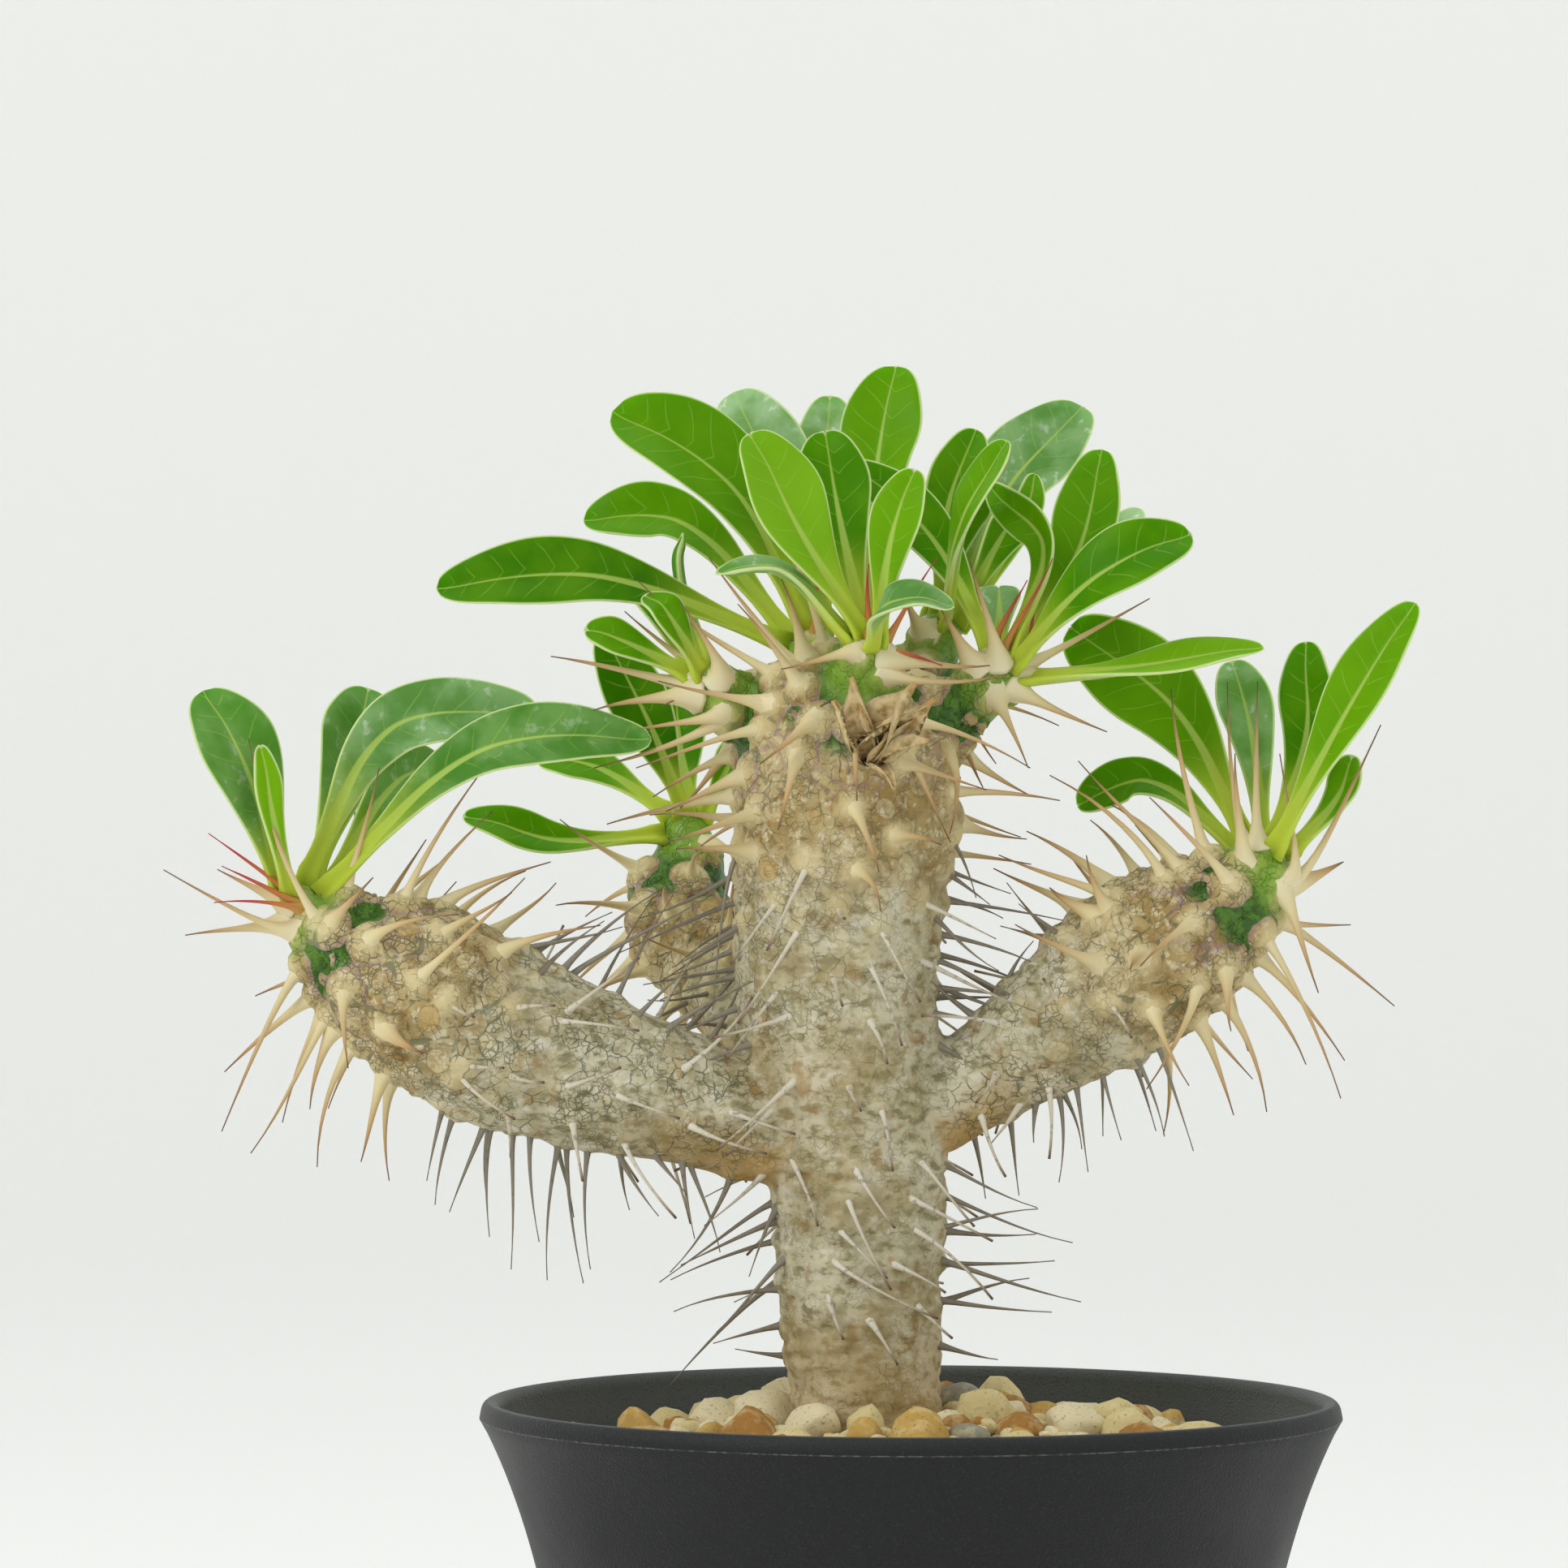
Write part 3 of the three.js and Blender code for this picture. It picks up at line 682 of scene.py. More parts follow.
@dataclass(frozen=True)
class DriedPetal(Finish):
    """Dried flower tissue, withered on the stalk. It is papery and brown with pale straw edges and
    dark folds, and has no shine."""

    def build(self) -> bpy.types.Material:
        """Builds the material."""
        material, add, surface = self.start()
        edge, grown = (add(Kind.STORED, attribute_name=name) for name in ("edge", "grown"))
        streak, fold = grain(add, 1.2, 5), grain(add, 3.0, 2)
        self.connect(surface, Base_Color=coat(
            add, "a08350", (streak, (0.35, 0.65, 0, 1), "d8c08c"), (fold, (0.58, 0.74, 0, 0.55), "5b4126"),
            (edge, (0.6, 1.0, 0, 0.7), "e2cc98"), (grown, (0.82, 1.0, 0, 0.6), "c8924a"),
            (grown, (0.0, 0.16, 0.85, 0), "452f1d"),
        ))
        self.emboss(add, surface, ((streak, 0.6, 0.3),))
        return material


@dataclass(frozen=True)
class SweepPaper(Finish):
    """Seamless background paper, rolled. It is plain, pale and matt, and lit evenly."""

    colour: str = "eaebe8"
    glow: float = 0.3

    def build(self) -> bpy.types.Material:
        """Builds the material."""
        material, _, surface = self.start()
        surface.inputs["Base Color"].default_value = linear(self.colour)
        surface.inputs["Emission Color"].default_value = linear(self.colour)
        surface.inputs["Emission Strength"].default_value = self.glow
        surface.inputs["Specular IOR Level"].default_value = 0.1
        return material


# ---------------------------------------------------------------- the plant's plan
@dataclass(frozen=True)
class Limb:
    """A woody limb: [x, y, z, radius] stations from its buried or joined end to its tip."""

    name: str
    stations: tuple[tuple[float, float, float, float], ...]
    spine_area: float  # skin that each spine has to itself, in square millimetres
    spine_from: float = 0.0  # the share of the limb's length that stays bare at its start

    def curve(self, count: int) -> tuple[np.ndarray, np.ndarray, np.ndarray]:
        """Reads the limb's centre line.

        Args:
            count: how many places to read.

        Returns:
            The centres in millimetres, the directions and the radii.
        """
        stations = np.array(self.stations)
        places = np.arange(len(stations), dtype=float)
        at = np.linspace(0, len(stations) - 1, count)
        values = hermite(places, stations, at)
        centres = values[:, :3] + COLLAR
        return centres, unit(np.gradient(centres, axis=0)), values[:, 3]


@dataclass(frozen=True)
class Shoot:
    """A short growing point with a round head."""

    name: str
    tip: tuple[float, float, float]
    start: tuple[float, float, float]
    radius: float

    def head(self) -> np.ndarray:
        """Gives the centre of the round head, in millimetres."""
        down = unit(np.array(self.start) - np.array(self.tip))
        return np.array(self.tip) + 0.5 * self.radius * down + COLLAR

    def as_limb(self) -> Limb:
        """Gives the shoot as a limb that tapers to its head."""
        head = self.head() - COLLAR
        middle = (head + np.array(self.start)) / 2
        rows = ((*self.start, 1.2 * self.radius), (*middle, 1.05 * self.radius), (*head, self.radius))
        return Limb(self.name, rows, spine_area=26.0)


LIMBS = (
    Limb("trunk", (
        (2, 1, -52, 2.5), (1, 0, -34, 7.5), (0, 0, -16, 11.4), (0, 0, 7, 10.8), (-1, 0, 22, 11.2),
        (-1, 0, 35, 11.9), (-2, 0, 47, 12.6), (-4, 0, 64, 13.8), (-4, 0, 81, 14), (-3, 0, 92, 15),
        (-3, 0, 101, 15),
    ), spine_area=62, spine_from=0.42),
    Limb("left", (
        (-3, 0, 48, 9), (-15, -1, 48.5, 8), (-26, -2, 52, 9.2), (-42, -3, 57, 11.2),
        (-53, -4, 61.5, 12), (-62, -5, 67, 11.8), (-69.5, -6, 71.5, 9.6), (-73, -6, 74, 7.2),
    ), spine_area=46, spine_from=0.16),
    Limb("right", (
        (-1, 0, 49, 7.5), (8, 0, 50.5, 6.8), (15, 0, 54.5, 7), (26, -1, 62, 9.1),
        (37, -2, 70, 11), (45, -3, 75.5, 10), (49.5, -4, 79, 7.4),
    ), spine_area=46, spine_from=0.24),
    Limb("back", (
        (-4, 4, 54, 6.5), (-15, 28, 62, 6.6), (-24, 44, 71, 7), (-27, 49, 78, 7.6), (-26, 51.5, 83, 6),
    ), spine_area=40, spine_from=0.2),
)

SHOOTS = (
    Shoot("left", (-79, -6, 79), (-74, -6, 75), 4.6),
    Shoot("right", (56.5, -4, 85), (51, -4, 80), 4.6),
    Shoot("back", (-26, 52, 90), (-26, 52, 85), 4.4),
    Shoot("front", (0, -13, 114), (-3, -5, 102), 4.6),
    Shoot("middle", (-8, 3, 115), (-6, 2, 102), 4.8),
    Shoot("rear", (10.5, 9, 118), (4, 4, 102), 4.2),
    Shoot("side", (19.5, -4, 112), (4, -1, 99), 4.4),
    Shoot("inner", (-23, -3, 110), (-12, -1, 102), 4.2),
)

# Spines that are set one by one, each as its foot, then its point, as [x, y, z] from the collar.
NEW_SPINES = (
    (-80, -10, 81, -91, -12, 89), (-80, -12, 80, -89, -14, 84.5), (-79, -12, 79, -90, -15, 79.5),
    (0, -14, 116, 0, -15, 126), (2, -14, 119, 3, -15, 128), (-7, -2, 122, -7, -2, 128),
    (-2, -13, 118, -9.5, -14, 127), (6, -13, 120, 9.5, -14, 127), (5, -16, 115, 10, -19, 112),
    (24, -5, 115, 23.5, -6, 123), (19.5, -7, 117, 25.5, -9, 127), (17, -6, 119, 22, -8, 124),
)
GROWN_SPINES = (
    (-81, -11, 75, -97, -14, 84), (-83, -9, 76, -94, -14, 75), (-80, -8, 79, -90, -9, 84),
    (-77, -14, 78, -85, -18, 102), (-72, -10, 83, -67.5, -11, 98), (-64, -10, 81, -53, -12, 98),
    (-62, -8, 82, -52, -8, 92), (-59, -6, 80, -44, -6, 85), (-69, -17, 75, -56, -22, 78),
    (-62, -17, 69, -47, -22, 83), (-74, -12, 76, -68, -17, 83), (-79, -9, 70, -89, -14, 48),
    (-80, -8, 65, -89, -9, 56), (-77, -10, 62, -85, -14, 45), (-76, -7, 63, -81, -9, 49),
    (-76, -10, 60, -77, -12, 51), (-72, -9, 59, -76, -12, 43), (-67, -16, 62, -61, -20, 59),
    (-70, 4, 76, -62, 9, 88), (-74, 2, 80, -72, 8, 92), (-66, 6, 72, -58, 14, 82),
    (-76, 3, 70, -86, 8, 66), (-70, 5, 62, -76, 12, 50), (-62, 8, 66, -60, 18, 56),
    (58, -6, 83, 57, -7, 100), (52, -9, 86, 50.5, -12, 100), (54, -5, 88, 54, -6, 110),
    (52, -3, 88, 50, -3, 110), (46.5, -6, 87, 42, -6, 109), (43, -8, 85, 29, -9, 99),
    (41, -9, 83, 25, -11, 97), (50, -11, 82, 38.5, -16, 94), (60, -6, 82, 71, -7, 104),
    (59.5, -8, 79, 62, -12, 67), (61, -5, 76, 73, -6, 65), (57, -9, 73, 65, -13, 52.5),
    (58, -6, 70, 66, -7, 57.5), (54, -8, 68, 60.5, -9, 57), (50, -8, 65, 55, -10, 50.5),
    (46, -8, 63, 50.5, -9, 50), (46, -13, 68, 38, -18, 54), (50, -12, 70, 49.5, -19, 62),
    (34, -8, 80, 18, -10, 86), (33.5, -9, 78, 30, -12, 86), (32, -8, 77, 25, -10, 81.5),
    (59, -4, 82, 66, -5, 85), (56, 2, 80, 64, 8, 90), (52, 4, 84, 50, 12, 98),
    (46, 6, 80, 38, 14, 90), (50, 5, 70, 54, 14, 58), (58, 1, 76, 68, 8, 76),
    (-2, -16, 114, -12, -19, 111.5), (5, -16, 113, 16.5, -20, 112), (5, -16, 110, 19.5, -19, 111),
    (-7, -8, 119, -16, -10, 139), (-9, -8, 114, -12, -12, 124), (-10, -12, 110, -18, -16, 120.5),
    (-14, -7, 112, -32, -9, 124), (18, -8, 114, 14, -10, 126.5), (14, -7, 113, 10, -9, 120),
    (-16, -11, 108, -29, -13, 110), (-28, -4, 110, -44, -6, 113.5), (-17, -11, 104, -32, -14, 98),
    (-21, -6, 104, -38, -8, 98), (-8, -16, 105, -15, -20, 98.5), (22, -7, 108, 33, -9, 103),
    (18, -9, 107, 22, -12, 98), (8, -14, 105, 22, -20, 98), (5, -15, 99, 16, -20, 95),
    (-10, -15, 100, -12.5, -20, 89.5), (24, -5, 113, 39, -7, 121.5), (24, -6, 111, 41, -8, 113.5),
    (-26, -6, 108, -38, -9, 106), (-24, 2, 112, -34, 4, 120), (-20, -5, 106, -34, -7, 103),
    (-18, 2, 100, -30, 4, 94), (-16, -6, 97, -28, -8, 92), (12, -2, 101, 23, -2, 94),
    (-20, -8, 112, -26, -11, 121), (-12, -9, 115, -22, -12, 127), (13, 3, 108, 27, 8, 104),
)
OLD_SPINES = (
    (-49, -5, 72, -34, -6, 76), (-47.5, -4, 71, -35.5, -4, 78), (-43, -5, 69, -29, -6, 81),
    (-42, -4, 68, -21.5, -5, 80.5), (-35, -4, 66, -27, -5, 80.5), (-42, -12, 64, -31.5, -17, 72),
    (-43, -13, 63, -31.5, -18, 62), (-33, -7, 62, -25, -9, 70), (-29, -6, 60, -16, -9, 68.5),
    (-26, -10, 56, -16, -15, 66.5), (-35, -13, 53, -26, -18, 50), (-25, -10, 49, -14, -15, 45),
    (-49, -15, 65, -43, -20, 65.5), (-42, -14, 54, -34, -19, 57), (-50, -15, 56, -44.5, -20, 55),
    (-58, -16, 66, -54, -21, 64), (-56.5, -14, 56, -48.5, -20, 50), (-56, -15, 57, -50, -20, 57),
    (-59, -8, 51, -61, -10, 41), (-57.5, -6, 50, -60, -7, 37.5), (-53, -6, 49, -58, -7, 36.5),
    (-52.5, -5, 48, -52.5, -6, 33), (-49.5, -5, 47, -49.5, -6, 28.5), (-47, -7, 46.5, -45.5, -9, 32.5),
    (-43, -5, 45.5, -44.5, -6, 27), (-42, -4, 45, -39.5, -5, 26.5), (-39, -5, 44.5, -38.5, -6, 28.5),
    (-35, -6, 44, -29, -8, 36), (-34, -9, 46, -26.5, -13, 36), (-30, -7, 44, -25, -10, 39),
    (-25, -6, 43, -20.5, -8, 31), (-26, -7, 43, -24, -10, 33), (-19, -4, 41, -27.5, -5, 28),
    (40, -7, 60, 45, -8, 45), (37, -7, 58, 41, -8, 47), (32.5, -6, 56, 35, -8, 46.5),
    (29, -5, 54, 30.5, -6, 42), (26.5, -4, 53, 26.5, -5, 40.5), (25, -7, 54, 25, -9, 44),
    (23.5, -4, 52, 23, -5, 46), (21.5, -5, 52, 17, -7, 46),
    (2, -14, 76, 7, -19, 66), (0, -14, 71.5, 4.5, -19, 60), (0, -13, 63.5, 2.5, -18, 57.5),
    (8, -10, 44, 14.5, -15, 35), (-11, -9, 44, -7, -14, 35), (-2, -12, 43, 3.5, -18, 35),
    (-3, -12, 39, 3, -18, 26.5), (6, -10, 38.5, 17, -15, 33), (6, -10, 34.5, 17, -15, 25),
    (-4.5, -12, 34.5, 2.5, -17, 28), (-5, -11, 30, 9.5, -17, 22.5), (3.5, -11, 29.5, 10.5, -16, 26),
    (-6, -11, 25, -3.5, -15, 19.5), (7, -9, 24, 11.5, -13, 19.5), (0, -11, 22, 4, -15, 16),
    (-8, -13, 85, -14, -19, 73), (-9.5, -13, 76, -18, -18, 63), (-12, -11, 67.5, -19.5, -16, 58),
    (-10.5, -12, 64, -21.5, -17, 61), (-10, -11, 55, -21, -16, 45.5), (-12, -11, 80, -19, -15, 71),
    (-14, -2, 37.5, -29, -3, 26.5), (-14, -4, 37, -16.5, -6, 27.5), (-13.5, -3, 35, -26, -5, 29),
    (-13, 0, 26.5, -27.5, 0, 12), (-12.5, -3, 25.5, -27, -4, 22.5), (-12, -2, 20.5, -21.5, -3, 18),
    (-11.5, 0, 16, -18.5, 0, 17), (-13.5, 1, 32, -27.5, 2, 26.5), (-12, -5, 30, -21, -9, 20),
    (11.5, -3, 43, 23.5, -5, 37), (11, -2, 38.5, 28.5, -3, 32), (11, -5, 34, 23.5, -8, 37),
    (11, 0, 33.5, 23.5, 0, 33), (11, -2, 29, 26, -3, 29.5), (11.5, -4, 29.5, 29.5, -6, 24),
    (10.5, -1, 23.5, 22.5, -2, 27), (10.5, -3, 24, 25.5, -5, 22.5), (11, -4, 18, 18, -6, 16),
    (10, -3, 75, 24, -5, 70.5), (10, -4, 71.5, 27, -6, 63), (10, -2, 67.5, 27.5, -3, 61),
    (9.5, -4, 60, 16, -7, 56), (10, 2, 80, 19, 3, 77), (10, -2, 84, 17, -3, 79),
    (10, 1, 72, 24, 2, 67), (10, 4, 66, 20, 7, 66), (9.5, -6, 78, 18, -10, 70),
    (-17.5, -3, 87, -21.5, -9, 64.5), (-18, 2, 83.5, -32, 3, 77), (-18, 4, 79.5, -35, 6, 72),
    (-17.5, 5, 75.5, -29, 9, 68), (-17.5, 2, 73, -27.5, 4, 69), (-17, 6, 70, -31.5, 11, 67.5),
    (-17, 3, 69, -29, 6, 65.5), (-26, 3, 61, -15.5, 5, 72.5), (-22, 0, 60, -17, -2, 70.5),
    (-17, 7, 77, -27, 14, 70), (-30, 4, 62, -22, 8, 76), (-38, 3, 66, -30, 5, 80),
    (10.5, -3, 89, 15, -5, 80), (10.5, 0, 84, 20, 0, 80.5), (10.5, 0, 79.5, 28.5, 0, 76.5),
    (8, -9, 79.5, 17.5, -14, 74.5), (8, -9, 71.5, 23, -13, 64.5), (10, -3, 67.5, 22, -5, 66),
    (9, -5, 64, 16, -9, 63), (27, 0, 72.5, 18.5, 0, 76), (20.5, -2, 66, 23, -4, 74),
    (27, 2, 73, 19.5, 3, 82), (27, -9, 65, 24, -14, 69), (33, -11, 66, 36, -17, 61),
)


# ---------------------------------------------------------------- stem and spines
class Spine:
    """One spine's foot, point, outward direction and looks."""

    def __init__(self, foot: np.ndarray, point: np.ndarray, normal: np.ndarray, youth: float) -> None:
        """Keeps the spine's places in millimetres.

        Args:
            foot: where it stands on the skin.
            point: where it ends.
            normal: the skin's outward direction at its foot.
            youth: 1 for a new spine, about 0.5 for a grown one, and 0 for an old one, pushed below 0 where an
                old spine stands out at the side, which paints it darker as painted shade.
        """
        self.foot, self.point, self.normal, self.youth = foot, point, normal, youth

    @property
    def length(self) -> float:
        """The straight distance from foot to point."""
        return float(np.linalg.norm(self.point - self.foot))


@dataclass
class Stem:
    """The woody plant with its shoots: one skin over all limbs, then its spines."""

    sides: int = 40
    rings_each: int = 8  # rings for each of a limb's stations
    voxel: float = 0.6
    seed: int = 11
    stretch_reads: int = 200  # places along a limb where its skin is measured
    fillet_rounds: int = 14
    young_within: float = 3.0  # how far from a growing point the skin is wholly young
    ageing: float = 62.0  # how much farther off it has become old wood
    grown_until: float = 0.45  # the skin's age up to which its spines aren't old
    spine_spacing: float = 5.2
    spine_sides: int = 8
    spine_steps: int = 13
    scar_tries: int = 900
    scar_spacing: float = 5.4
    ridge_gap: float = 2.3
    ridge_fall: float = 3.2
    # the foot's radius, the shaft's radius and the cone's length of a new, a grown and an old spine
    bulk: tuple[tuple[float, float, float], ...] = ((1.4, 0.55, 2.0), (2.6, 0.72, 2.9), (1.0, 0.47, 2.1))
    # how far each kind of spine stands straight up before it leans, as a share of its length
    rise: tuple[float, float, float] = (0.25, 0.25, 0.12)
    blunt: float = 0.2  # the broken end's radius of an old spine on the trunk
    spines: list[Spine] = field(default_factory=list)

    def limbs(self) -> list[Limb]:
        """Lists the woody limbs and the shoots."""
        return [*LIMBS, *(shoot.as_limb() for shoot in SHOOTS)]

    def core(self) -> bpy.types.Object:
        """Joins a round tube for each limb into one even mesh.

        Returns:
            The remeshed stem.
        """
        points, faces = [], []
        for limb in self.limbs():
            centres, along, radii = limb.curve(self.rings_each * len(limb.stations))
            butt, tip = radii[0], radii[-1]
            caps = [(centres[0] - along[0] * butt * 0.6, along[0], 0.01)]
            for angle in np.linspace(0.1, math.pi / 2 - 0.02, 7):
                centre = centres[-1] + along[-1] * tip * math.sin(angle)
                caps.append((centre, along[-1], tip * math.cos(angle)))
            rows = [caps[0], *zip(centres, along, radii), *caps[1:]]
            start = sum(len(ring) for ring in points)
            for centre, direction, radius in rows:
                side = unit(np.cross(direction, (0.0, 1.0, 0.1)))
                up = np.cross(direction, side)
                turn = full_turn(self.sides)[:, None]
                points.append(centre + radius * (np.cos(turn) * side + np.sin(turn) * up))
            faces += tube_faces(len(rows), self.sides, start)
        stem = make_object("stem_bark", np.concatenate(points), faces)
        remesh = stem.modifiers.new("skin", "REMESH")
        remesh.mode, remesh.voxel_size = "VOXEL", self.voxel * MM
        blend = stem.modifiers.new("fillet", "SMOOTH")
        blend.factor, blend.iterations = 0.5, self.fillet_rounds
        apply_modifiers(stem)
        return stem

    def age_of(self, places: np.ndarray) -> np.ndarray:
        """Tells how old the skin is: 0 at a growing point and 1 on old wood.

        Args:
            places: points on the skin in millimetres.

        Returns:
            One age for each point.
        """
        nearest = np.full(len(places), 1e9)
        for shoot in SHOOTS:
            gap = np.linalg.norm(places - (np.array(shoot.tip) + COLLAR), axis=1)
            nearest = np.minimum(nearest, gap)
        return np.clip((nearest - self.young_within) / self.ageing, 0, 1)

    def place_spines(self, tree: BVHTree) -> None:
        """Sets the listed spines where the plan gives them, and the rest round each limb in a spiral, clear
        of the first.

        Args:
            tree: the stem's surface, in metres.
        """
        draw = random.Random(self.seed)
        for rows, youth in ((NEW_SPINES, 1.0), (GROWN_SPINES, 0.5), (OLD_SPINES, 0.0)):
            for row in rows:
                self.add_spine(tree, np.array(row[:3]) + COLLAR, np.array(row[3:]) + COLLAR,
                               youth + draw.uniform(-0.06, 0.06))
        taken = [spine.foot for spine in self.spines]
        golden = math.pi * (3 - math.sqrt(5))
        for limb in self.limbs():
            centres, along, radii = limb.curve(self.stretch_reads)
            steps = np.linalg.norm(np.diff(centres, axis=0), axis=1)
            skin = np.concatenate(([0.0], np.cumsum(2 * math.pi * radii[:-1] * steps)))
            count = int(skin[-1] / limb.spine_area)
            for number in range(count):
                at = int(np.searchsorted(skin, (number + 0.5) * limb.spine_area))
                at = min(at, len(centres) - 1)
                if at < limb.spine_from * len(centres):
                    continue
                angle = number * golden + draw.uniform(-0.25, 0.25)
                side = unit(np.cross(along[at], (0.0, 1.0, 0.1)))
                out = math.cos(angle) * side + math.sin(angle) * np.cross(along[at], side)
                foot = centres[at] + out * radii[at]
                if any(np.linalg.norm(foot - other) < self.spine_spacing for other in taken):
                    continue
                age = float(self.age_of(foot[None])[0])
                lean = 0.15 + 0.5 * age
                direction = unit(out - along[at] * lean * draw.uniform(0.6, 1.3)
                                 + np.array([draw.uniform(-0.3, 0.3) for _ in range(3)]))
                length = draw.uniform(9, 15) + (4 if age < self.grown_until else 0)
                youth = 0.5 if age < self.grown_until else 0.0
                taken.append(foot)
                self.add_spine(tree, foot, foot + direction * length, youth + draw.uniform(-0.06, 0.06))

    def add_spine(self, tree: BVHTree, foot: np.ndarray, point: np.ndarray, youth: float) -> None:
        """Stands one spine on the nearest skin.

        Args:
            tree: the stem's surface, in metres.
            foot: about where it stands, in millimetres.
            point: where it ends.
            youth: 1 for a new spine, 0 for an old one; an old spine at the side is pushed lower here as
                painted shade.
        """
        place, normal, _, _ = tree.find_nearest(Vector(foot * MM))
        # Painted shade: an old spine that stands out at the side, rather than towards the front or back, is
        # pushed below 0 so that the horn finish paints it darker.
        if youth < 0.25:
            youth -= 0.5 * float(smooth_step(0.75, 0.45, abs(normal.y)))
        self.spines.append(Spine(np.array(place) / MM, point, np.array(normal), youth))

    def relief(self, stem: bpy.types.Object) -> None:
        """Raises the shields and wrinkles of the skin, and stores what the finish needs.

        Args:
            stem: the smooth remeshed stem.
        """
        mesh = stem.data
        places, normals = vertex_places(mesh), vertex_normals(mesh)
        age, local = self.age_of(places), places - COLLAR
        feet = [spine.foot for spine in self.spines]
        near, far, apart = nearest_two(places, feet).T
        # A corky ridge runs from each foot to the next, so it counts as close to a foot.
        gap = np.minimum(near, self.ridge_gap + self.ridge_fall * (near + far - apart))
        scars, radii, ochres = self.leaf_scars(places, (age > 0.2) & (age < 0.7) & (gap > 2.6))
        border = nearest_two(places, feet + scars) @ (-1.0, 1.0, 0.0)
        away = np.linalg.norm(places[:, None] - np.array(scars)[None], axis=2) / np.array(radii)
        disc, ochre = away.min(axis=1), np.array(ochres)[away.argmin(axis=1)]

        young, crust = smooth_step(0.75, 0.3, age), smooth_step(0.06, 0.25, age) * smooth_step(0.8, 0.5, age)
        trunk = smooth_step(17, 12, np.hypot(local[:, 0] + 2, local[:, 1])) * smooth_step(88, 60, local[:, 2])
        rings = 0.5 - np.abs(noise_at(places, (18, 18, 3.4), 3)) * 2
        window = smooth_step(2.2, 3.2, gap) * smooth_step(0.24, 0.14, age) * smooth_step(0.9, 1.2, disc)
        rise = (
            1.5 * np.exp(-((gap / 2.9) ** 2)) * young * smooth_step(0.01, 0.09, age)  # shields on young skin
            + 0.7 * np.exp(-((gap / 1.7) ** 2)) * (1 - young)  # the small shields of old spines
            + 0.28 * smooth_step(0.0, 1.6, border) * young  # seams between the shields
            - 0.55 * window  # green windows
            + 0.14 * np.exp(-(((disc - 1) / 0.22) ** 2)) * young  # rims round the leaf scars
            - 0.8 * np.maximum(rings, 0) * trunk  # rings that run round the trunk
            + (0.14 + 0.45 * crust + 0.25 * trunk) * noise_at(places, 3.2, 5)  # lumps of the crust
            + 0.35 * noise_at(places, 9, 7)  # broad swellings
            + (0.05 + 0.12 * crust) * noise_at(places, 1.5, 9)  # small wrinkles
        )
        moved = places + normals * rise[:, None]
        mesh.vertices.foreach_set("co", (moved * MM).astype(np.float32).ravel())
        # Painted shade: skin that faces down under the branches near the fork is marked to be painted warm
        # brown; the trunk is also marked warmer and browner towards the bottom.
        under = smooth_step(0.1, -0.8, normals[:, 2]) * smooth_step(-38, -14, local[:, 0])
        under *= smooth_step(26, 14, local[:, 0]) * smooth_step(34, 42, local[:, 2])
        base = smooth_step(30, 4, local[:, 2])
        cracked = 1 - 0.6 * smooth_step(18, 12, np.hypot(local[:, 0] + 2, local[:, 1]))
        for name, values in (("age", age), ("gap", gap), ("border", border), ("disc", disc), ("ochre", ochre),
                             ("warm", np.maximum(under, 0.6 * base)), ("cracked", cracked)):
            set_values(mesh, name, values)
        mesh.shade_smooth()

    def leaf_scars(
        self, places: np.ndarray, allowed: np.ndarray
    ) -> tuple[list[np.ndarray], list[float], list[float]]:
        """Chooses where old leaves have left their scars.

        Args:
            places: points on the skin in millimetres.
            allowed: where a scar may lie.

        Returns:
            The scars' middles, their radii, and how ochre each one is.
        """
        draw = random.Random(self.seed + 1)
        open_skin = np.flatnonzero(allowed)
        scars: list[np.ndarray] = []
        for _ in range(self.scar_tries):
            place = places[open_skin[draw.randrange(len(open_skin))]]
            if all(np.linalg.norm(place - other) > self.scar_spacing for other in scars):
                scars.append(place)
        radii = [draw.uniform(1.1, 2.1) for _ in scars]
        ochres = [draw.choice((0.0, 0.0, 0.0, 0.1, 0.1, 0.2, 0.3, 0.9)) for _ in scars]
        return scars, radii, ochres

    def spine_mesh(self) -> bpy.types.Object:
        """Lofts every spine and joins them.

        Returns:
            One object that holds all spines.
        """
        draw = random.Random(self.seed + 2)
        turn = full_turn(self.spine_sides)[:, None]
        share = np.linspace(0, 1, self.spine_steps) ** 1.3
        points, faces, grown, youths_and_shades = [], [], [], []
        for spine in self.spines:
            length = spine.length
            bow = np.array([draw.uniform(-1, 1) for _ in range(3)]) * 0.1 * length
            start = spine.foot - spine.normal * 0.7
            stage = 0 if spine.youth > 0.75 else 1 if spine.youth > 0.25 else 2
            lift = start + spine.normal * min(3.0, self.rise[stage] * length)
            foot, shaft, cone = (size * draw.uniform(0.85, 1.15) for size in self.bulk[stage])
            t = share[:, None]
            control = (lift + spine.point) / 2 + bow
            line = (1 - t) ** 3 * start + 3 * (1 - t) ** 2 * t * lift
            line = line + 3 * (1 - t) * t**2 * control + t**3 * spine.point
            radius = shaft * (1 - share) ** 0.8 + (foot - shaft) * np.exp(-((share * length / cone) ** 1.2))
            radius = np.maximum(radius, self.blunt if abs(spine.youth) < 0.15 else 0.08)
            along = unit(np.gradient(line, axis=0))
            side = unit(np.cross(along, np.array((0.31, 0.9, 0.2))))
            up = np.cross(along, side)
            first = sum(len(ring) for ring in points)
            for i in range(self.spine_steps):
                ring = np.cos(turn) * side[i] + np.sin(turn) * up[i]
                points.append(line[i] + radius[i] * ring)
            faces += tube_faces(self.spine_steps, self.spine_sides, first)
            grown += list(np.repeat(share, self.spine_sides))
            youths_and_shades += [spine.youth] * (self.spine_steps * self.spine_sides)
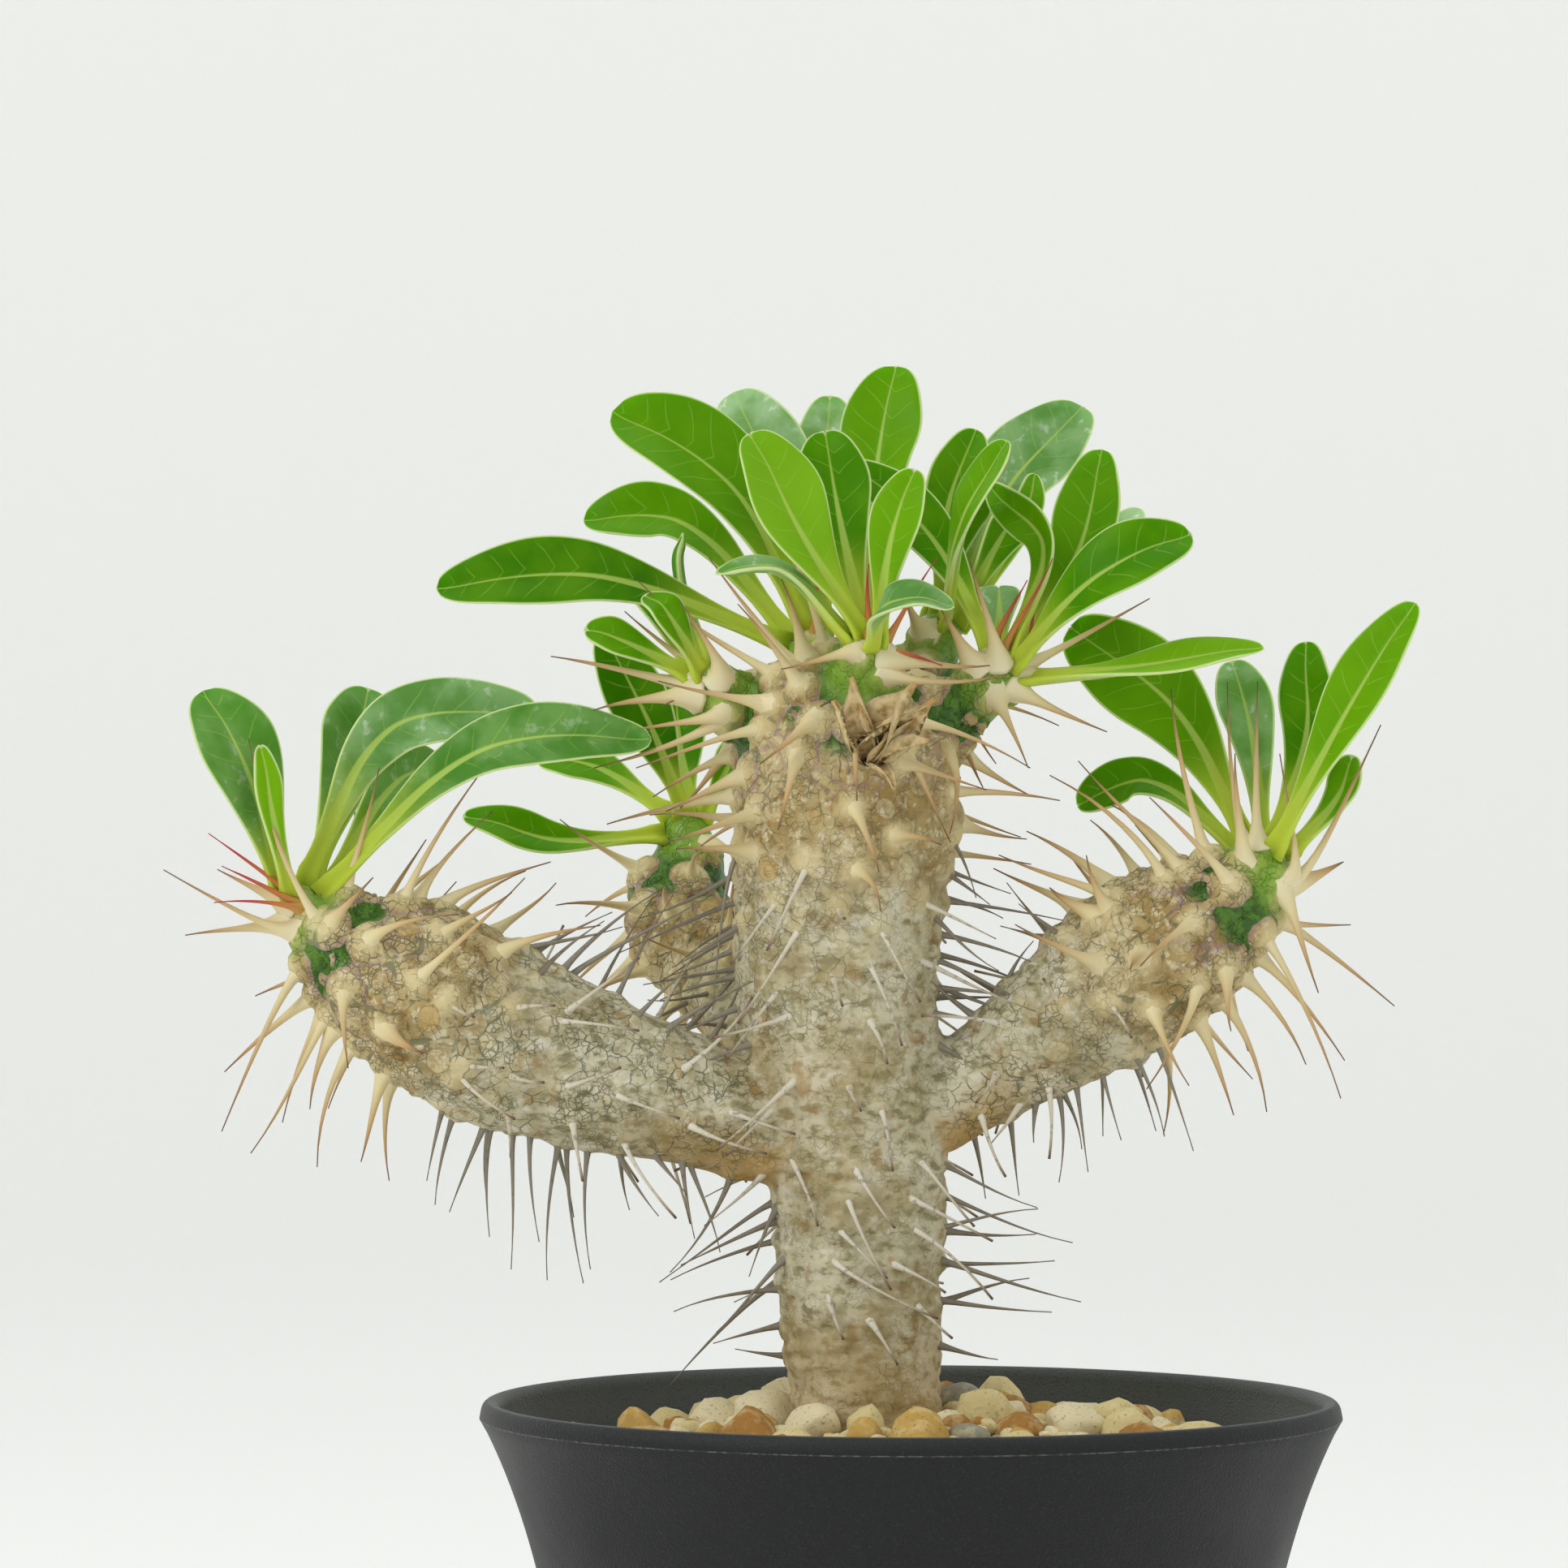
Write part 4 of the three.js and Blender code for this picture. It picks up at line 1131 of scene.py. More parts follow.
        values = {"grown": np.array(grown), "youth": np.array(youths_and_shades)}
        return make_object("stem_spines", np.concatenate(points), faces, values)

    def build(self) -> None:
        """Builds the stem and its spines."""
        stem = self.core()
        tree = BVHTree.FromObject(stem, bpy.context.evaluated_depsgraph_get())
        self.place_spines(tree)
        self.relief(stem)
        hand_in(stem, Bark("euphorbia_bark_grown", 0.82, 1.45).build(), ("stem",))
        spines = self.spine_mesh()
        hand_in(spines, SpineHorn("spine_horn_grown", 0.5, 1.5).build())


# ---------------------------------------------------------------- leaves
class Tone(Enum):
    """How green a leaf is, and how much pale wax lies on it."""

    DEEP = (0.1, 0.0)
    FRESH = (0.38, 0.0)
    BRIGHT = (0.62, 0.0)
    # Painted light: a brighter green that stands in for light shining through the blade from behind.
    PAINTED_GLOW = (0.78, 0.0)
    COOL = (0.22, 0.18)
    WAXY = (0.32, 0.36)
    PALE = (0.5, 0.75)


@dataclass
class Leaf:
    """One leaf, lofted finely over its CAD solid."""

    node: str
    tone: Tone
    head: np.ndarray
    lengthwise: int = 44
    crosswise: int = 9  # points from margin to margin on each face
    fold: float = 0.22  # how far the CAD leaf's margins rise over its middle, as a share of its half width
    stalk_width: float = 2.2
    foot_flare: float = 0.9  # how much wider each side of the stalk is where it clasps the shoot
    stalk_thickness: float = 1.5
    blade_thickness: float = 0.9
    keel: float = 0.45
    broadest: float = 1.8
    vein_gap: float = 3.6
    measured: int = 4  # the section that the blade's width is read at
    clear_lead: float = 1.3  # a diagonal this much longer than the next surely runs from margin to margin
    stations: tuple[float, ...] = (0.05, 0.2, 0.36, 0.52, 0.66, 0.79, 0.9, 0.965)

    def outline(self, t: np.ndarray, width: float) -> np.ndarray:
        """Gives the half width of the leaf.

        Args:
            t: places along the leaf, from 0 at its foot to 1 at its tip.
            width: the blade's full width.

        Returns:
            One half width for each place.
        """
        roundness = 0.75 - 0.32 * smooth_step(0.72, 1.0, t)
        blade = width / 2 * np.sin(math.pi * t**self.broadest).clip(0) ** roundness
        stalk = self.stalk_width / 2 * (1 - t) + self.foot_flare * np.exp(-t / 0.07)
        return np.hypot(blade, stalk)

    def rings(self) -> tuple[np.ndarray, list[np.ndarray], np.ndarray]:
        """Finds the CAD solid's sections, from its foot to its tip.

        Returns:
            The foot, eight points for each section, and the tip.
        """
        solid = bmesh.new()
        solid.from_mesh(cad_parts[self.node].data)
        bmesh.ops.remove_doubles(solid, verts=solid.verts, dist=1e-6)
        poles = sorted(
            (v for v in solid.verts if len(v.link_edges) == 8),
            key=lambda v: float(np.linalg.norm(np.array(v.co) / MM - self.head)),
        )
        layer, seen, found = [poles[0]], {poles[0]}, []
        while True:
            layer = [v for v in dict.fromkeys(e.other_vert(w) for w in layer for e in w.link_edges)
                     if v not in seen]
            seen.update(layer)
            if len(layer) < 8:
                break
            ring, rest = [layer[0]], set(layer[1:])
            while rest:
                near = next(e.other_vert(ring[-1]) for e in ring[-1].link_edges
                            if e.other_vert(ring[-1]) in rest)
                ring.append(near)
                rest.discard(near)
            found.append(np.array([v.co for v in ring]) / MM)
        foot, tip = np.array(poles[0].co) / MM, np.array(poles[-1].co) / MM
        solid.free()
        return foot, found, tip

    def sections(self) -> tuple[np.ndarray, np.ndarray, np.ndarray, float]:
        """Reads the leaf's centre line, sideways direction, facing and width.

        Returns:
            Ten centres, ten sideways directions, ten facings and the blade's width.
        """
        foot, rings, tip = self.rings()
        widest = max(range(len(rings)), key=lambda i: self.span_of(rings[i])[0])
        across, facing = self.span_of(rings[widest])[1], None
        found: dict[int, tuple[np.ndarray, np.ndarray, float, np.ndarray]] = {}
        for way in (range(widest, len(rings)), range(widest - 1, -1, -1)):
            if facing is not None:
                across, facing = (found[widest][i] for i in (3, 1))
            for i in way:
                start = self.margins(rings[i], across)
                ring = np.roll(rings[i], -start, axis=0)
                across = unit(ring[0] - ring[4])
                middle = (ring[0] + ring[4]) / 2
                keel, groove = sorted((ring[2], ring[6]), key=lambda p: -np.linalg.norm(p - middle))
                up = unit(groove - keel)
                facing = up if facing is None or up @ facing > 0 else -up
                half = np.linalg.norm(ring[0] - ring[4]) / 2
                found[i] = (middle - facing * self.fold * half, facing, half, across)
        centres, facings, halves = ([found[i][part] for i in range(len(rings))] for part in range(3))
        t = self.stations[self.measured]
        stalk = self.stalk_width / 2 * (1 - t)
        full = 2 * math.sqrt(halves[self.measured] ** 2 - stalk**2)
        width = full / math.sin(math.pi * t**self.broadest) ** 0.75
        centres = np.array([foot, *centres, tip])
        along = unit(np.gradient(centres, axis=0))
        facings = np.array([facings[0], *facings, facings[-1]])
        facings = unit(facings - (facings * along).sum(1, keepdims=True) * along)
        return centres, np.cross(along, facings), facings, width

    @staticmethod
    def span_of(ring: np.ndarray) -> tuple[float, np.ndarray, float]:
        """Finds a section's longest diagonal.

        Args:
            ring: eight points round a section.

        Returns:
            Its length, its direction, and how much longer it is than the next one.
        """
        pairs = sorted((ring[i] - ring[i + 4] for i in range(4)), key=np.linalg.norm)
        length = float(np.linalg.norm(pairs[-1]))
        return length, unit(pairs[-1]), length / float(np.linalg.norm(pairs[-2]))

    @classmethod
    def margins(cls, ring: np.ndarray, across: np.ndarray) -> int:
        """Finds the section point on the margin that a sideways direction points to.

        Args:
            ring: eight points round a section.
            across: the sideways direction nearby.

        Returns:
            The number of the margin's point.
        """
        _, direction, lead = cls.span_of(ring)
        aim = across
        if lead > cls.clear_lead:
            aim = direction if direction @ across > 0 else -direction
        fits = [float(unit(ring[i] - ring[(i + 4) % 8]) @ aim) for i in range(8)]
        return int(np.argmax(fits))

    def build(self, material: bpy.types.Material, seed: int) -> None:
        """Lofts the leaf and hands it in.

        Args:
            material: the leaf's finish.
            seed: makes each leaf's waves its own.
        """
        centres, sides, facings, width = self.sections()
        known = np.array((0.0, *self.stations, 1.0))
        t = np.sin(np.linspace(0, 1, self.lengthwise) * math.pi / 2)
        t = 0.55 * t + 0.45 * np.linspace(0, 1, self.lengthwise)
        line = hermite(known, centres, t)
        side, facing = unit(hermite(known, sides, t)), unit(hermite(known, facings, t))
        line[0] += unit(self.head - line[0]) * 1.2
        draw = random.Random(seed)
        half = np.maximum(self.outline(t, width), 0.25)
        lean = (1 - t) ** 4
        thick = (self.blade_thickness * (1 - lean) + self.stalk_thickness * lean) / 2
        taper = np.clip(8 * (1 - t), 0.25, 1)
        u = np.sin(np.linspace(-1, 1, self.crosswise * 2 - 1) * math.pi / 2)
        phase, beat, notch = draw.uniform(0, 6), draw.uniform(7, 11), max(0.0, draw.uniform(-0.5, 1.0))
        fold, curl = draw.uniform(0.22, 0.4), draw.uniform(-0.5, 2.4)
        line = line - facing * (curl * smooth_step(0.68, 1.0, t) ** 2)[:, None]
        run = np.concatenate(([0.0], np.cumsum(np.linalg.norm(np.diff(line, axis=0), axis=1))))
        count = 2 * len(u) - 2
        ring_u = np.concatenate((u, u[-2:0:-1]))
        top = np.concatenate((np.ones(len(u)), -np.ones(len(u) - 2)))
        edge = np.sqrt(np.clip(1 - ring_u**4, 0, 1))
        points = np.empty((self.lengthwise, count, 3))
        for i in range(self.lengthwise):
            up = thick[i] * taper[i]
            rise = fold * half[i] * (np.sqrt(ring_u**2 + 0.02) - math.sqrt(0.02))
            groove = 1 - 0.45 * np.exp(-((ring_u * half[i] / 0.7) ** 2))
            ridge = self.keel * taper[i] * np.exp(-((ring_u * half[i] / 0.75) ** 2))
            face = np.where(top > 0, up * edge * groove, -up * edge - ridge)
            wave = 0.07 * half[i] * ring_u**2 * np.sin(beat * t[i] + phase + 1.7 * np.sign(ring_u))
            offset = rise + face + wave
            points[i] = line[i] + side[i] * (ring_u * half[i])[:, None] + facing[i] * offset[:, None]
            sink = notch * smooth_step(0.93, 1.0, t[i]) * np.exp(-((ring_u / 0.45) ** 2))
            points[i] -= unit(line[i] - line[i - 1] if i else line[1] - line[0]) * sink[:, None]
        faces = tube_faces(self.lengthwise, count)
        off_mid = np.abs(ring_u)[None] * half[:, None]
        grid = np.ones_like(off_mid)
        vein = run[:, None] / self.vein_gap - 0.75 * off_mid / self.vein_gap + 0.5 * (ring_u > 0)
        vein = vein + 0.12 * np.sin(run[:, None] * 0.9 + phase)
        tone, bloom = self.tone.value
        values = {
            "along": (t[:, None] * grid).ravel(),
            "off_mid": off_mid.ravel(),
            "off_margin": (half[:, None] - off_mid).ravel(),
            "rib": ((1.1 * (1 - t) ** 1.9 + 0.06)[:, None] * grid).ravel(),
            "vein": vein.ravel(),
            "upper": ((top > 0)[None] * grid).ravel(),
            "tone": (np.clip(tone + draw.uniform(-0.12, 0.12), 0, 1) * grid).ravel(),
            "bloom": (bloom * grid).ravel(),
        }
        leaf = make_object(f"{self.node}_blade", points.reshape(-1, 3), faces, values)
        face_out(leaf)
        hand_in(leaf, material, (self.node,))


@dataclass
class Foliage:
    """All leaves, shoot by shoot."""

    tones: dict[str, Tone] = field(default_factory=lambda: {
        "left_leaf_1": Tone.COOL, "left_leaf_2": Tone.BRIGHT, "left_leaf_3": Tone.WAXY,
        "left_leaf_4": Tone.COOL, "left_leaf_5": Tone.COOL, "left_leaf_6": Tone.COOL,
        "middle_leaf_1": Tone.DEEP, "middle_leaf_2": Tone.FRESH, "middle_leaf_3": Tone.PALE,
        "middle_leaf_5": Tone.PALE, "front_leaf_1": Tone.WAXY, "front_leaf_2": Tone.WAXY,
        "front_leaf_3": Tone.PAINTED_GLOW, "front_leaf_5": Tone.FRESH, "rear_leaf_3": Tone.WAXY,
        "side_leaf_6": Tone.PALE, "side_leaf_7": Tone.WAXY, "side_leaf_5": Tone.BRIGHT,
        "right_leaf_1": Tone.FRESH, "right_leaf_3": Tone.WAXY, "right_leaf_5": Tone.BRIGHT,
        "back_leaf_3": Tone.DEEP, "side_leaf_4": Tone.FRESH, "front_leaf_6": Tone.BRIGHT,
    })

    def build(self) -> None:
        """Builds every leaf node of the frame."""
        material = LeafSkin("euphorbia_leaf_grown", 0.36, 1.45).build()
        heads = {shoot.name: shoot.head() for shoot in SHOOTS}
        names = sorted(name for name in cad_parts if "_leaf_" in name)
        for number, name in enumerate(names):
            shoot = name.split("_leaf_")[0]
            Leaf(name, self.tones.get(name, Tone.FRESH), heads[shoot]).build(material, 100 + number)


# ---------------------------------------------------------------- dried flower
@dataclass
class DriedFlower:
    """The withered remains of a flower: curled papery lobes round a dark scar."""

    hub: tuple[float, float, float] = (-0.5, -16.7, 99)
    lobes: tuple[tuple[float, float, float, float, float], ...] = (
        # the lobe's end as [x, y, z], its half width and its curl
        (-2.4, -20.5, 110.4, 2.1, 0.9), (-5, -20.5, 107.2, 1.7, -0.8), (6.3, -21, 109.6, 2.7, 0.9),
        (8.9, -20.5, 107.4, 2.3, -0.8), (8.2, -21, 101.8, 1.8, 1.1), (3.4, -21.5, 94.8, 1.0, 0.5),
        (2.6, -21.5, 103, 1.5, 1.2), (-3.4, -20, 103, 1.3, -0.9), (4.7, -21.5, 106.5, 2.0, -1.2),
        (-1.2, -20, 106.5, 1.6, 1.3), (6, -20, 104.5, 1.8, 0.7),
    )
    thickness: float = 0.28
    steps: int = 14
    across: int = 7

    def build(self) -> None:
        """Builds the lobes and hands them in."""
        points, faces, edge, grown = [], [], [], []
        hub = np.array(self.hub) + COLLAR
        t = np.linspace(0, 1, self.steps)
        for number, (x, y, z, half, curl) in enumerate(self.lobes):
            end = np.array((x, y, z)) + COLLAR
            bow = np.array((0.9 * curl, -1.2, 0.3))
            line = hub + (end - hub) * t[:, None] + bow * np.sin(math.pi * t)[:, None]
            along = unit(np.gradient(line, axis=0))
            side = unit(np.cross(along, (0.2 * curl, -1.0, 0.3)))
            facing = np.cross(side, along)
            width = half * (0.3 + np.sin(math.pi * t**0.8).clip(0)) * (1 - 0.7 * t**3)
            twist = curl * 1.9 * t
            first = sum(len(rows) for rows in points)
            spread = np.linspace(-1, 1, self.across)
            order = np.concatenate((spread, spread[-2:0:-1]))
            top = np.concatenate((np.ones(self.across), -np.ones(self.across - 2)))
            for i in range(self.steps):
                a = side[i] * math.cos(twist[i]) + facing[i] * math.sin(twist[i])
                b = facing[i] * math.cos(twist[i]) - side[i] * math.sin(twist[i])
                cup = 0.95 * width[i] * order**2
                crinkle = 0.2 * np.sin(9 * t[i] + 5 * order + number)
                rows = line[i] + a * (order * width[i])[:, None]
                rows = rows + b * (cup + crinkle + self.thickness / 2 * top)[:, None]
                points.append(rows)
                edge += list(np.abs(order))
                grown += [t[i]] * len(order)
            faces += tube_faces(self.steps, len(order), first)
        values = {"edge": np.array(edge), "grown": np.array(grown)}
        flower = make_object("dried_flower_lobes", np.concatenate(points), faces, values)
        face_out(flower)
        hand_in(flower, DriedPetal("dried_petal_withered", 0.85).build(),
                ("dried_flower",))


# ---------------------------------------------------------------- pot and what fills it
@dataclass
class Pot:
    """The moulded nursery pot, turned finely to the CAD pot's own lines."""

    height: float = 105
    rim_radius: float = 60
    base_radius: float = 39.5
    wall: float = 1.3
    floor: float = 2.2
    draft: float = 0.135
    flare_power: float = 6
    seam_drop: float = 2.4
    lip_width: float = 2.8
    lip_blend: float = 9
    foot_chamfer: float = 1.2
    sides: int = 144
    seam_ridge: float = 0.12
    hole_count: int = 6
    hole_radius: float = 3.6
    hole_circle: float = 25
    hole_sides: int = 32
    drill_start: float = -2.0
    drill_length: float = 7.0

    @property
    def seam(self) -> float:
        """The height of the mould seam."""
        return self.height - self.seam_drop

    def outer(self, z: np.ndarray) -> np.ndarray:
        """The wall's outside radius at a height."""
        flare = self.rim_radius - self.base_radius - self.draft * self.seam
        return self.base_radius + self.draft * z + flare * (z / self.seam) ** self.flare_power

    def inner(self, z: np.ndarray) -> np.ndarray:
        """The wall's inside radius at a height."""
        share = smooth_step(self.seam - self.lip_blend, self.seam, z)
        return self.outer(z) - (self.wall + (self.lip_width - self.wall) * share)

    def outline(self) -> np.ndarray:
        """Lists the turned section, from the underside's centre round the outside to the inside floor.

        Returns:
            Rows of radius and height.
        """
        rise = self.foot_chamfer + (self.seam - self.foot_chamfer) * np.linspace(0, 1, 40) ** 0.7
        outside = np.stack((self.outer(rise), rise), 1)
        outside[-1, 0] += self.seam_ridge
        angle = np.linspace(0, math.pi, 15)[1:-1]
        centre = self.rim_radius - self.lip_width / 2
        lip = np.stack((
            centre + self.lip_width / 2 * np.cos(angle),
            self.seam + self.seam_drop * np.sin(angle) ** 0.7,
        ), 1)
        fall = self.floor + (self.seam - self.floor) * np.linspace(1, 0, 36)
        inside = np.stack((self.inner(fall), fall), 1)
        foot = [(self.base_radius - self.foot_chamfer - 12, 0.0), (self.base_radius - self.foot_chamfer, 0.0)]
        middle = [(self.base_radius - 14.0, self.floor)]
        return np.concatenate((foot, outside, lip, inside, middle))

    def build(self) -> None:
        """Turns the wall, fills the floor, cuts the drain holes and hands the pot in."""
        rows = self.outline()
        turn = full_turn(self.sides)
        points = np.stack((
            rows[:, :1] * np.cos(turn)[None],
            rows[:, :1] * np.sin(turn)[None],
            rows[:, 1:] * np.ones(self.sides)[None],
        ), 2).reshape(-1, 3)
        faces = tube_faces(len(rows), self.sides)
        outside = np.repeat(rows[:, 0] > self.inner(rows[:, 1]) + self.wall / 2, self.sides)
        pot = make_object("pot_shell", points, faces, {"outside": outside})
        face_out(pot)
        self.cut_holes(pot)
        pot.data.shade_smooth()
        hand_in(pot, PotPlastic("polypropylene_moulded", 0.5, 1.49, self.seam).build(), ("pot",))

    def cut_holes(self, pot: bpy.types.Object) -> None:
        """Cuts the drain holes through the floor.

        Args:
            pot: the turned pot.
        """
        tools = []
        for number in range(self.hole_count):
            angle = number / self.hole_count * 2 * math.pi
            turn = full_turn(self.hole_sides)
            ring = np.stack((
                self.hole_circle * math.cos(angle) + self.hole_radius * np.cos(turn),
                self.hole_circle * math.sin(angle) + self.hole_radius * np.sin(turn),
                np.full(self.hole_sides, self.drill_start),
            ), 1)
            points = np.concatenate((ring, ring + (0, 0, self.drill_length)))
            tool = make_object(f"drill_{number}", points, tube_faces(2, self.hole_sides))
            face_out(tool)
            cut = pot.modifiers.new(f"hole_{number}", "BOOLEAN")
            cut.operation, cut.solver, cut.object = "DIFFERENCE", "EXACT", tool
            tools.append(tool)
        apply_modifiers(pot)
        for tool in tools:
            bpy.data.objects.remove(tool)


class StoneKind(Enum):
    """Where each kind of stone lies in the shared colour ramp."""

    CREAM = 0.1
    PALE = 0.3
    TAN = 0.5
    RUST = 0.7
    GREY = 0.85
    # The bed: darker fines, which also stand for painted shade in the gaps between the grains.
    FINES_AND_GAP_SHADE = 0.97


@dataclass
class Gravel:
    """The top dressing: loose grains over a lumpy bed, and four larger pebbles."""

    radius: float = 53.6
    edge: float = 95.0
    heap: float = 7.2
    bump: float = 0.8
    spacing: float = 8.0
    large: int = 60  # how many of the grains are large ones, which are set first
    large_sizes: tuple[float, float] = (3.2, 5.0)
    sizes: tuple[float, float] = (1.2, 2.9)
    closeness: float = 0.76  # how near two grains may lie, as a share of their half widths together
    bed_rings: int = 30
    bed_sides: int = 96
    bed_drop: float = 1.1  # how far the bed lies under the grains' middles
    bed_depth: float = 6.5
    small: float = 1.8  # the half width up to which a grain is small enough for a coarser mesh
    tries: int = 24000
    seed: int = 5
    stem: tuple[float, float] = (-6, 0)
    stem_radius: float = 12.4
    pebbles: tuple[tuple[str, StoneKind], ...] = (
        ("tan_pebble", StoneKind.RUST), ("cream_pebble", StoneKind.CREAM),
        ("brown_pebble", StoneKind.RUST), ("white_pebble", StoneKind.PALE),
    )
    shares: tuple[tuple[StoneKind, float], ...] = (
        (StoneKind.CREAM, 0.36), (StoneKind.PALE, 0.22), (StoneKind.TAN, 0.2),
        (StoneKind.RUST, 0.14), (StoneKind.GREY, 0.08),
    )

    def height(self, x: float, y: float) -> float:
        """The bed's height at a place."""
        turn = 2 * math.pi / (2 * self.spacing)
        bumps = math.sin(turn * (x + 0.4 * y)) * math.cos(turn * (y - 0.3 * x))
        return self.edge + self.heap * (1 - (x * x + y * y) / self.radius**2) + self.bump * bumps

    @staticmethod
    def rough_stone(seed: int, detail: int) -> tuple[np.ndarray, list[tuple[int, ...]]]:
        """Makes one broken stone about 2 across.

        Args:
            seed: gives the stone its own shape.
            detail: how often the starting ball is divided.

        Returns:
            Its points and faces.
        """
        shape = bmesh.new()
        bmesh.ops.create_icosphere(shape, subdivisions=detail, radius=1.0)
        points = np.array([v.co for v in shape.verts])
        faces = [tuple(v.index for v in f.verts) for f in shape.faces]
        shape.free()
        draw = random.Random(seed)
        for _ in range(9):
            # A broken face: everything beyond a plane is pressed back to it.
            normal = unit(np.array([draw.gauss(0, 1) for _ in range(3)]))
            reach = draw.uniform(0.62, 0.88)
            over = np.maximum(points @ normal - reach, 0)
            points = points - 0.85 * over[:, None] * normal
        return points * (1 + 0.07 * noise_at(points, 0.35, seed))[:, None], faces

    def build(self) -> None:
        """Builds the bed with its grains, then the pebbles."""
        draw = random.Random(self.seed)
        fine, rough = ([self.rough_stone(40 + i, detail) for i in range(8)] for detail in (3, 2))
        points, faces, kinds = self.bed()
        places: list[tuple[float, float, float]] = []
        kinds_drawn = [kind for kind, _ in self.shares]
        weights = [share for _, share in self.shares]
        for _ in range(self.tries):
            size = draw.uniform(*(self.large_sizes if len(places) < self.large else self.sizes))
            reach, angle = self.radius * math.sqrt(draw.random()), draw.uniform(0, 2 * math.pi)
            x, y = reach * math.cos(angle), reach * math.sin(angle)
            at_stem = math.hypot(x - self.stem[0], y - self.stem[1]) < self.stem_radius
            if reach > self.radius - size or at_stem:
                continue
            if any((x - px) ** 2 + (y - py) ** 2 < (self.closeness * (size + other)) ** 2
                   for px, py, other in places):
                continue
            places.append((x, y, size))
            shape, sides = draw.choice(fine if size > self.small else rough)
            spin = Matrix.Rotation(draw.uniform(0, 6.28), 3, Vector((draw.random(), draw.random(), 1)))
            stretch = np.array((1.15, 1.0, 0.78)) * size
            turned = (shape * stretch) @ np.array(spin)
            start = sum(len(part) for part in points)
            points.append(turned + (x, y, self.height(x, y) + 0.1 * size))
            faces += [tuple(start + i for i in side) for side in sides]
            kind = draw.choices(kinds_drawn, weights)[0]
            kinds.append(np.full(len(turned), kind.value))
        values = {"stone": np.concatenate(kinds)}
        gravel = make_object("grit_grains", np.concatenate(points), faces, values)
        material = self.material()
        hand_in(gravel, material, ("grit",))
        for number, (node, kind) in enumerate(self.pebbles):
            low, high = (np.array(corner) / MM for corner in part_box(node))
            shape, sides = self.rough_stone(70 + number, 4)
            placed = (low + high) / 2 + shape * (high - low) / 2 * 1.08
            pebble = make_object(f"{node}_stone", placed, sides, {"stone": np.full(len(shape), kind.value)})
            hand_in(pebble, material, (node,))

    def bed(self) -> tuple[list[np.ndarray], list[tuple[int, ...]], list[np.ndarray]]:
        """Builds the closed bed under the grains, coloured as dark fines that also stand for painted shade in
        the gaps between them.

        Returns:
            Its points, faces and stone kinds, each as the start of a list.
        """
        turn = full_turn(self.bed_sides)
        rows = []
        for i in range(self.bed_rings):
            reach = self.radius * (1 - i / self.bed_rings)
            rows.append([(reach * math.cos(a), reach * math.sin(a)) for a in turn])
        top = np.array([(x, y, self.height(x, y) - self.bed_drop) for row in rows for x, y in row])
        base = np.array([(x * 0.97, y * 0.97, self.edge - self.bed_depth) for x, y in rows[0]])
        points = np.concatenate((base, top))
        faces = tube_faces(self.bed_rings + 1, self.bed_sides)
        return [points], faces, [np.full(len(points), StoneKind.FINES_AND_GAP_SHADE.value)]

    def material(self) -> bpy.types.Material:
        """Builds the stones' finish."""
        # The stop at 0.94 is the bed's dark colour: fines, and painted shade in the gaps between the grains.
        colours = ((0.0, "dccb92"), (0.94, "77684a"), (0.2, "e6dab2"), (0.4, "c8a355"),
                   (0.6, "a97a38"), (0.8, "95917f"))
        return Stone("pumice_and_clay_crushed", 0.92, 1.5, colours).build()


def dress_soil() -> None:
    """Gives the hidden CAD soil its finish."""
    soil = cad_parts["soil"]
    material = PottingMix("potting_mix_pressed", 0.95).build()
    for place in soil.material_slots:
        place.material = material
    LOG.info("soil: CAD node kept, finish %s", material.name)


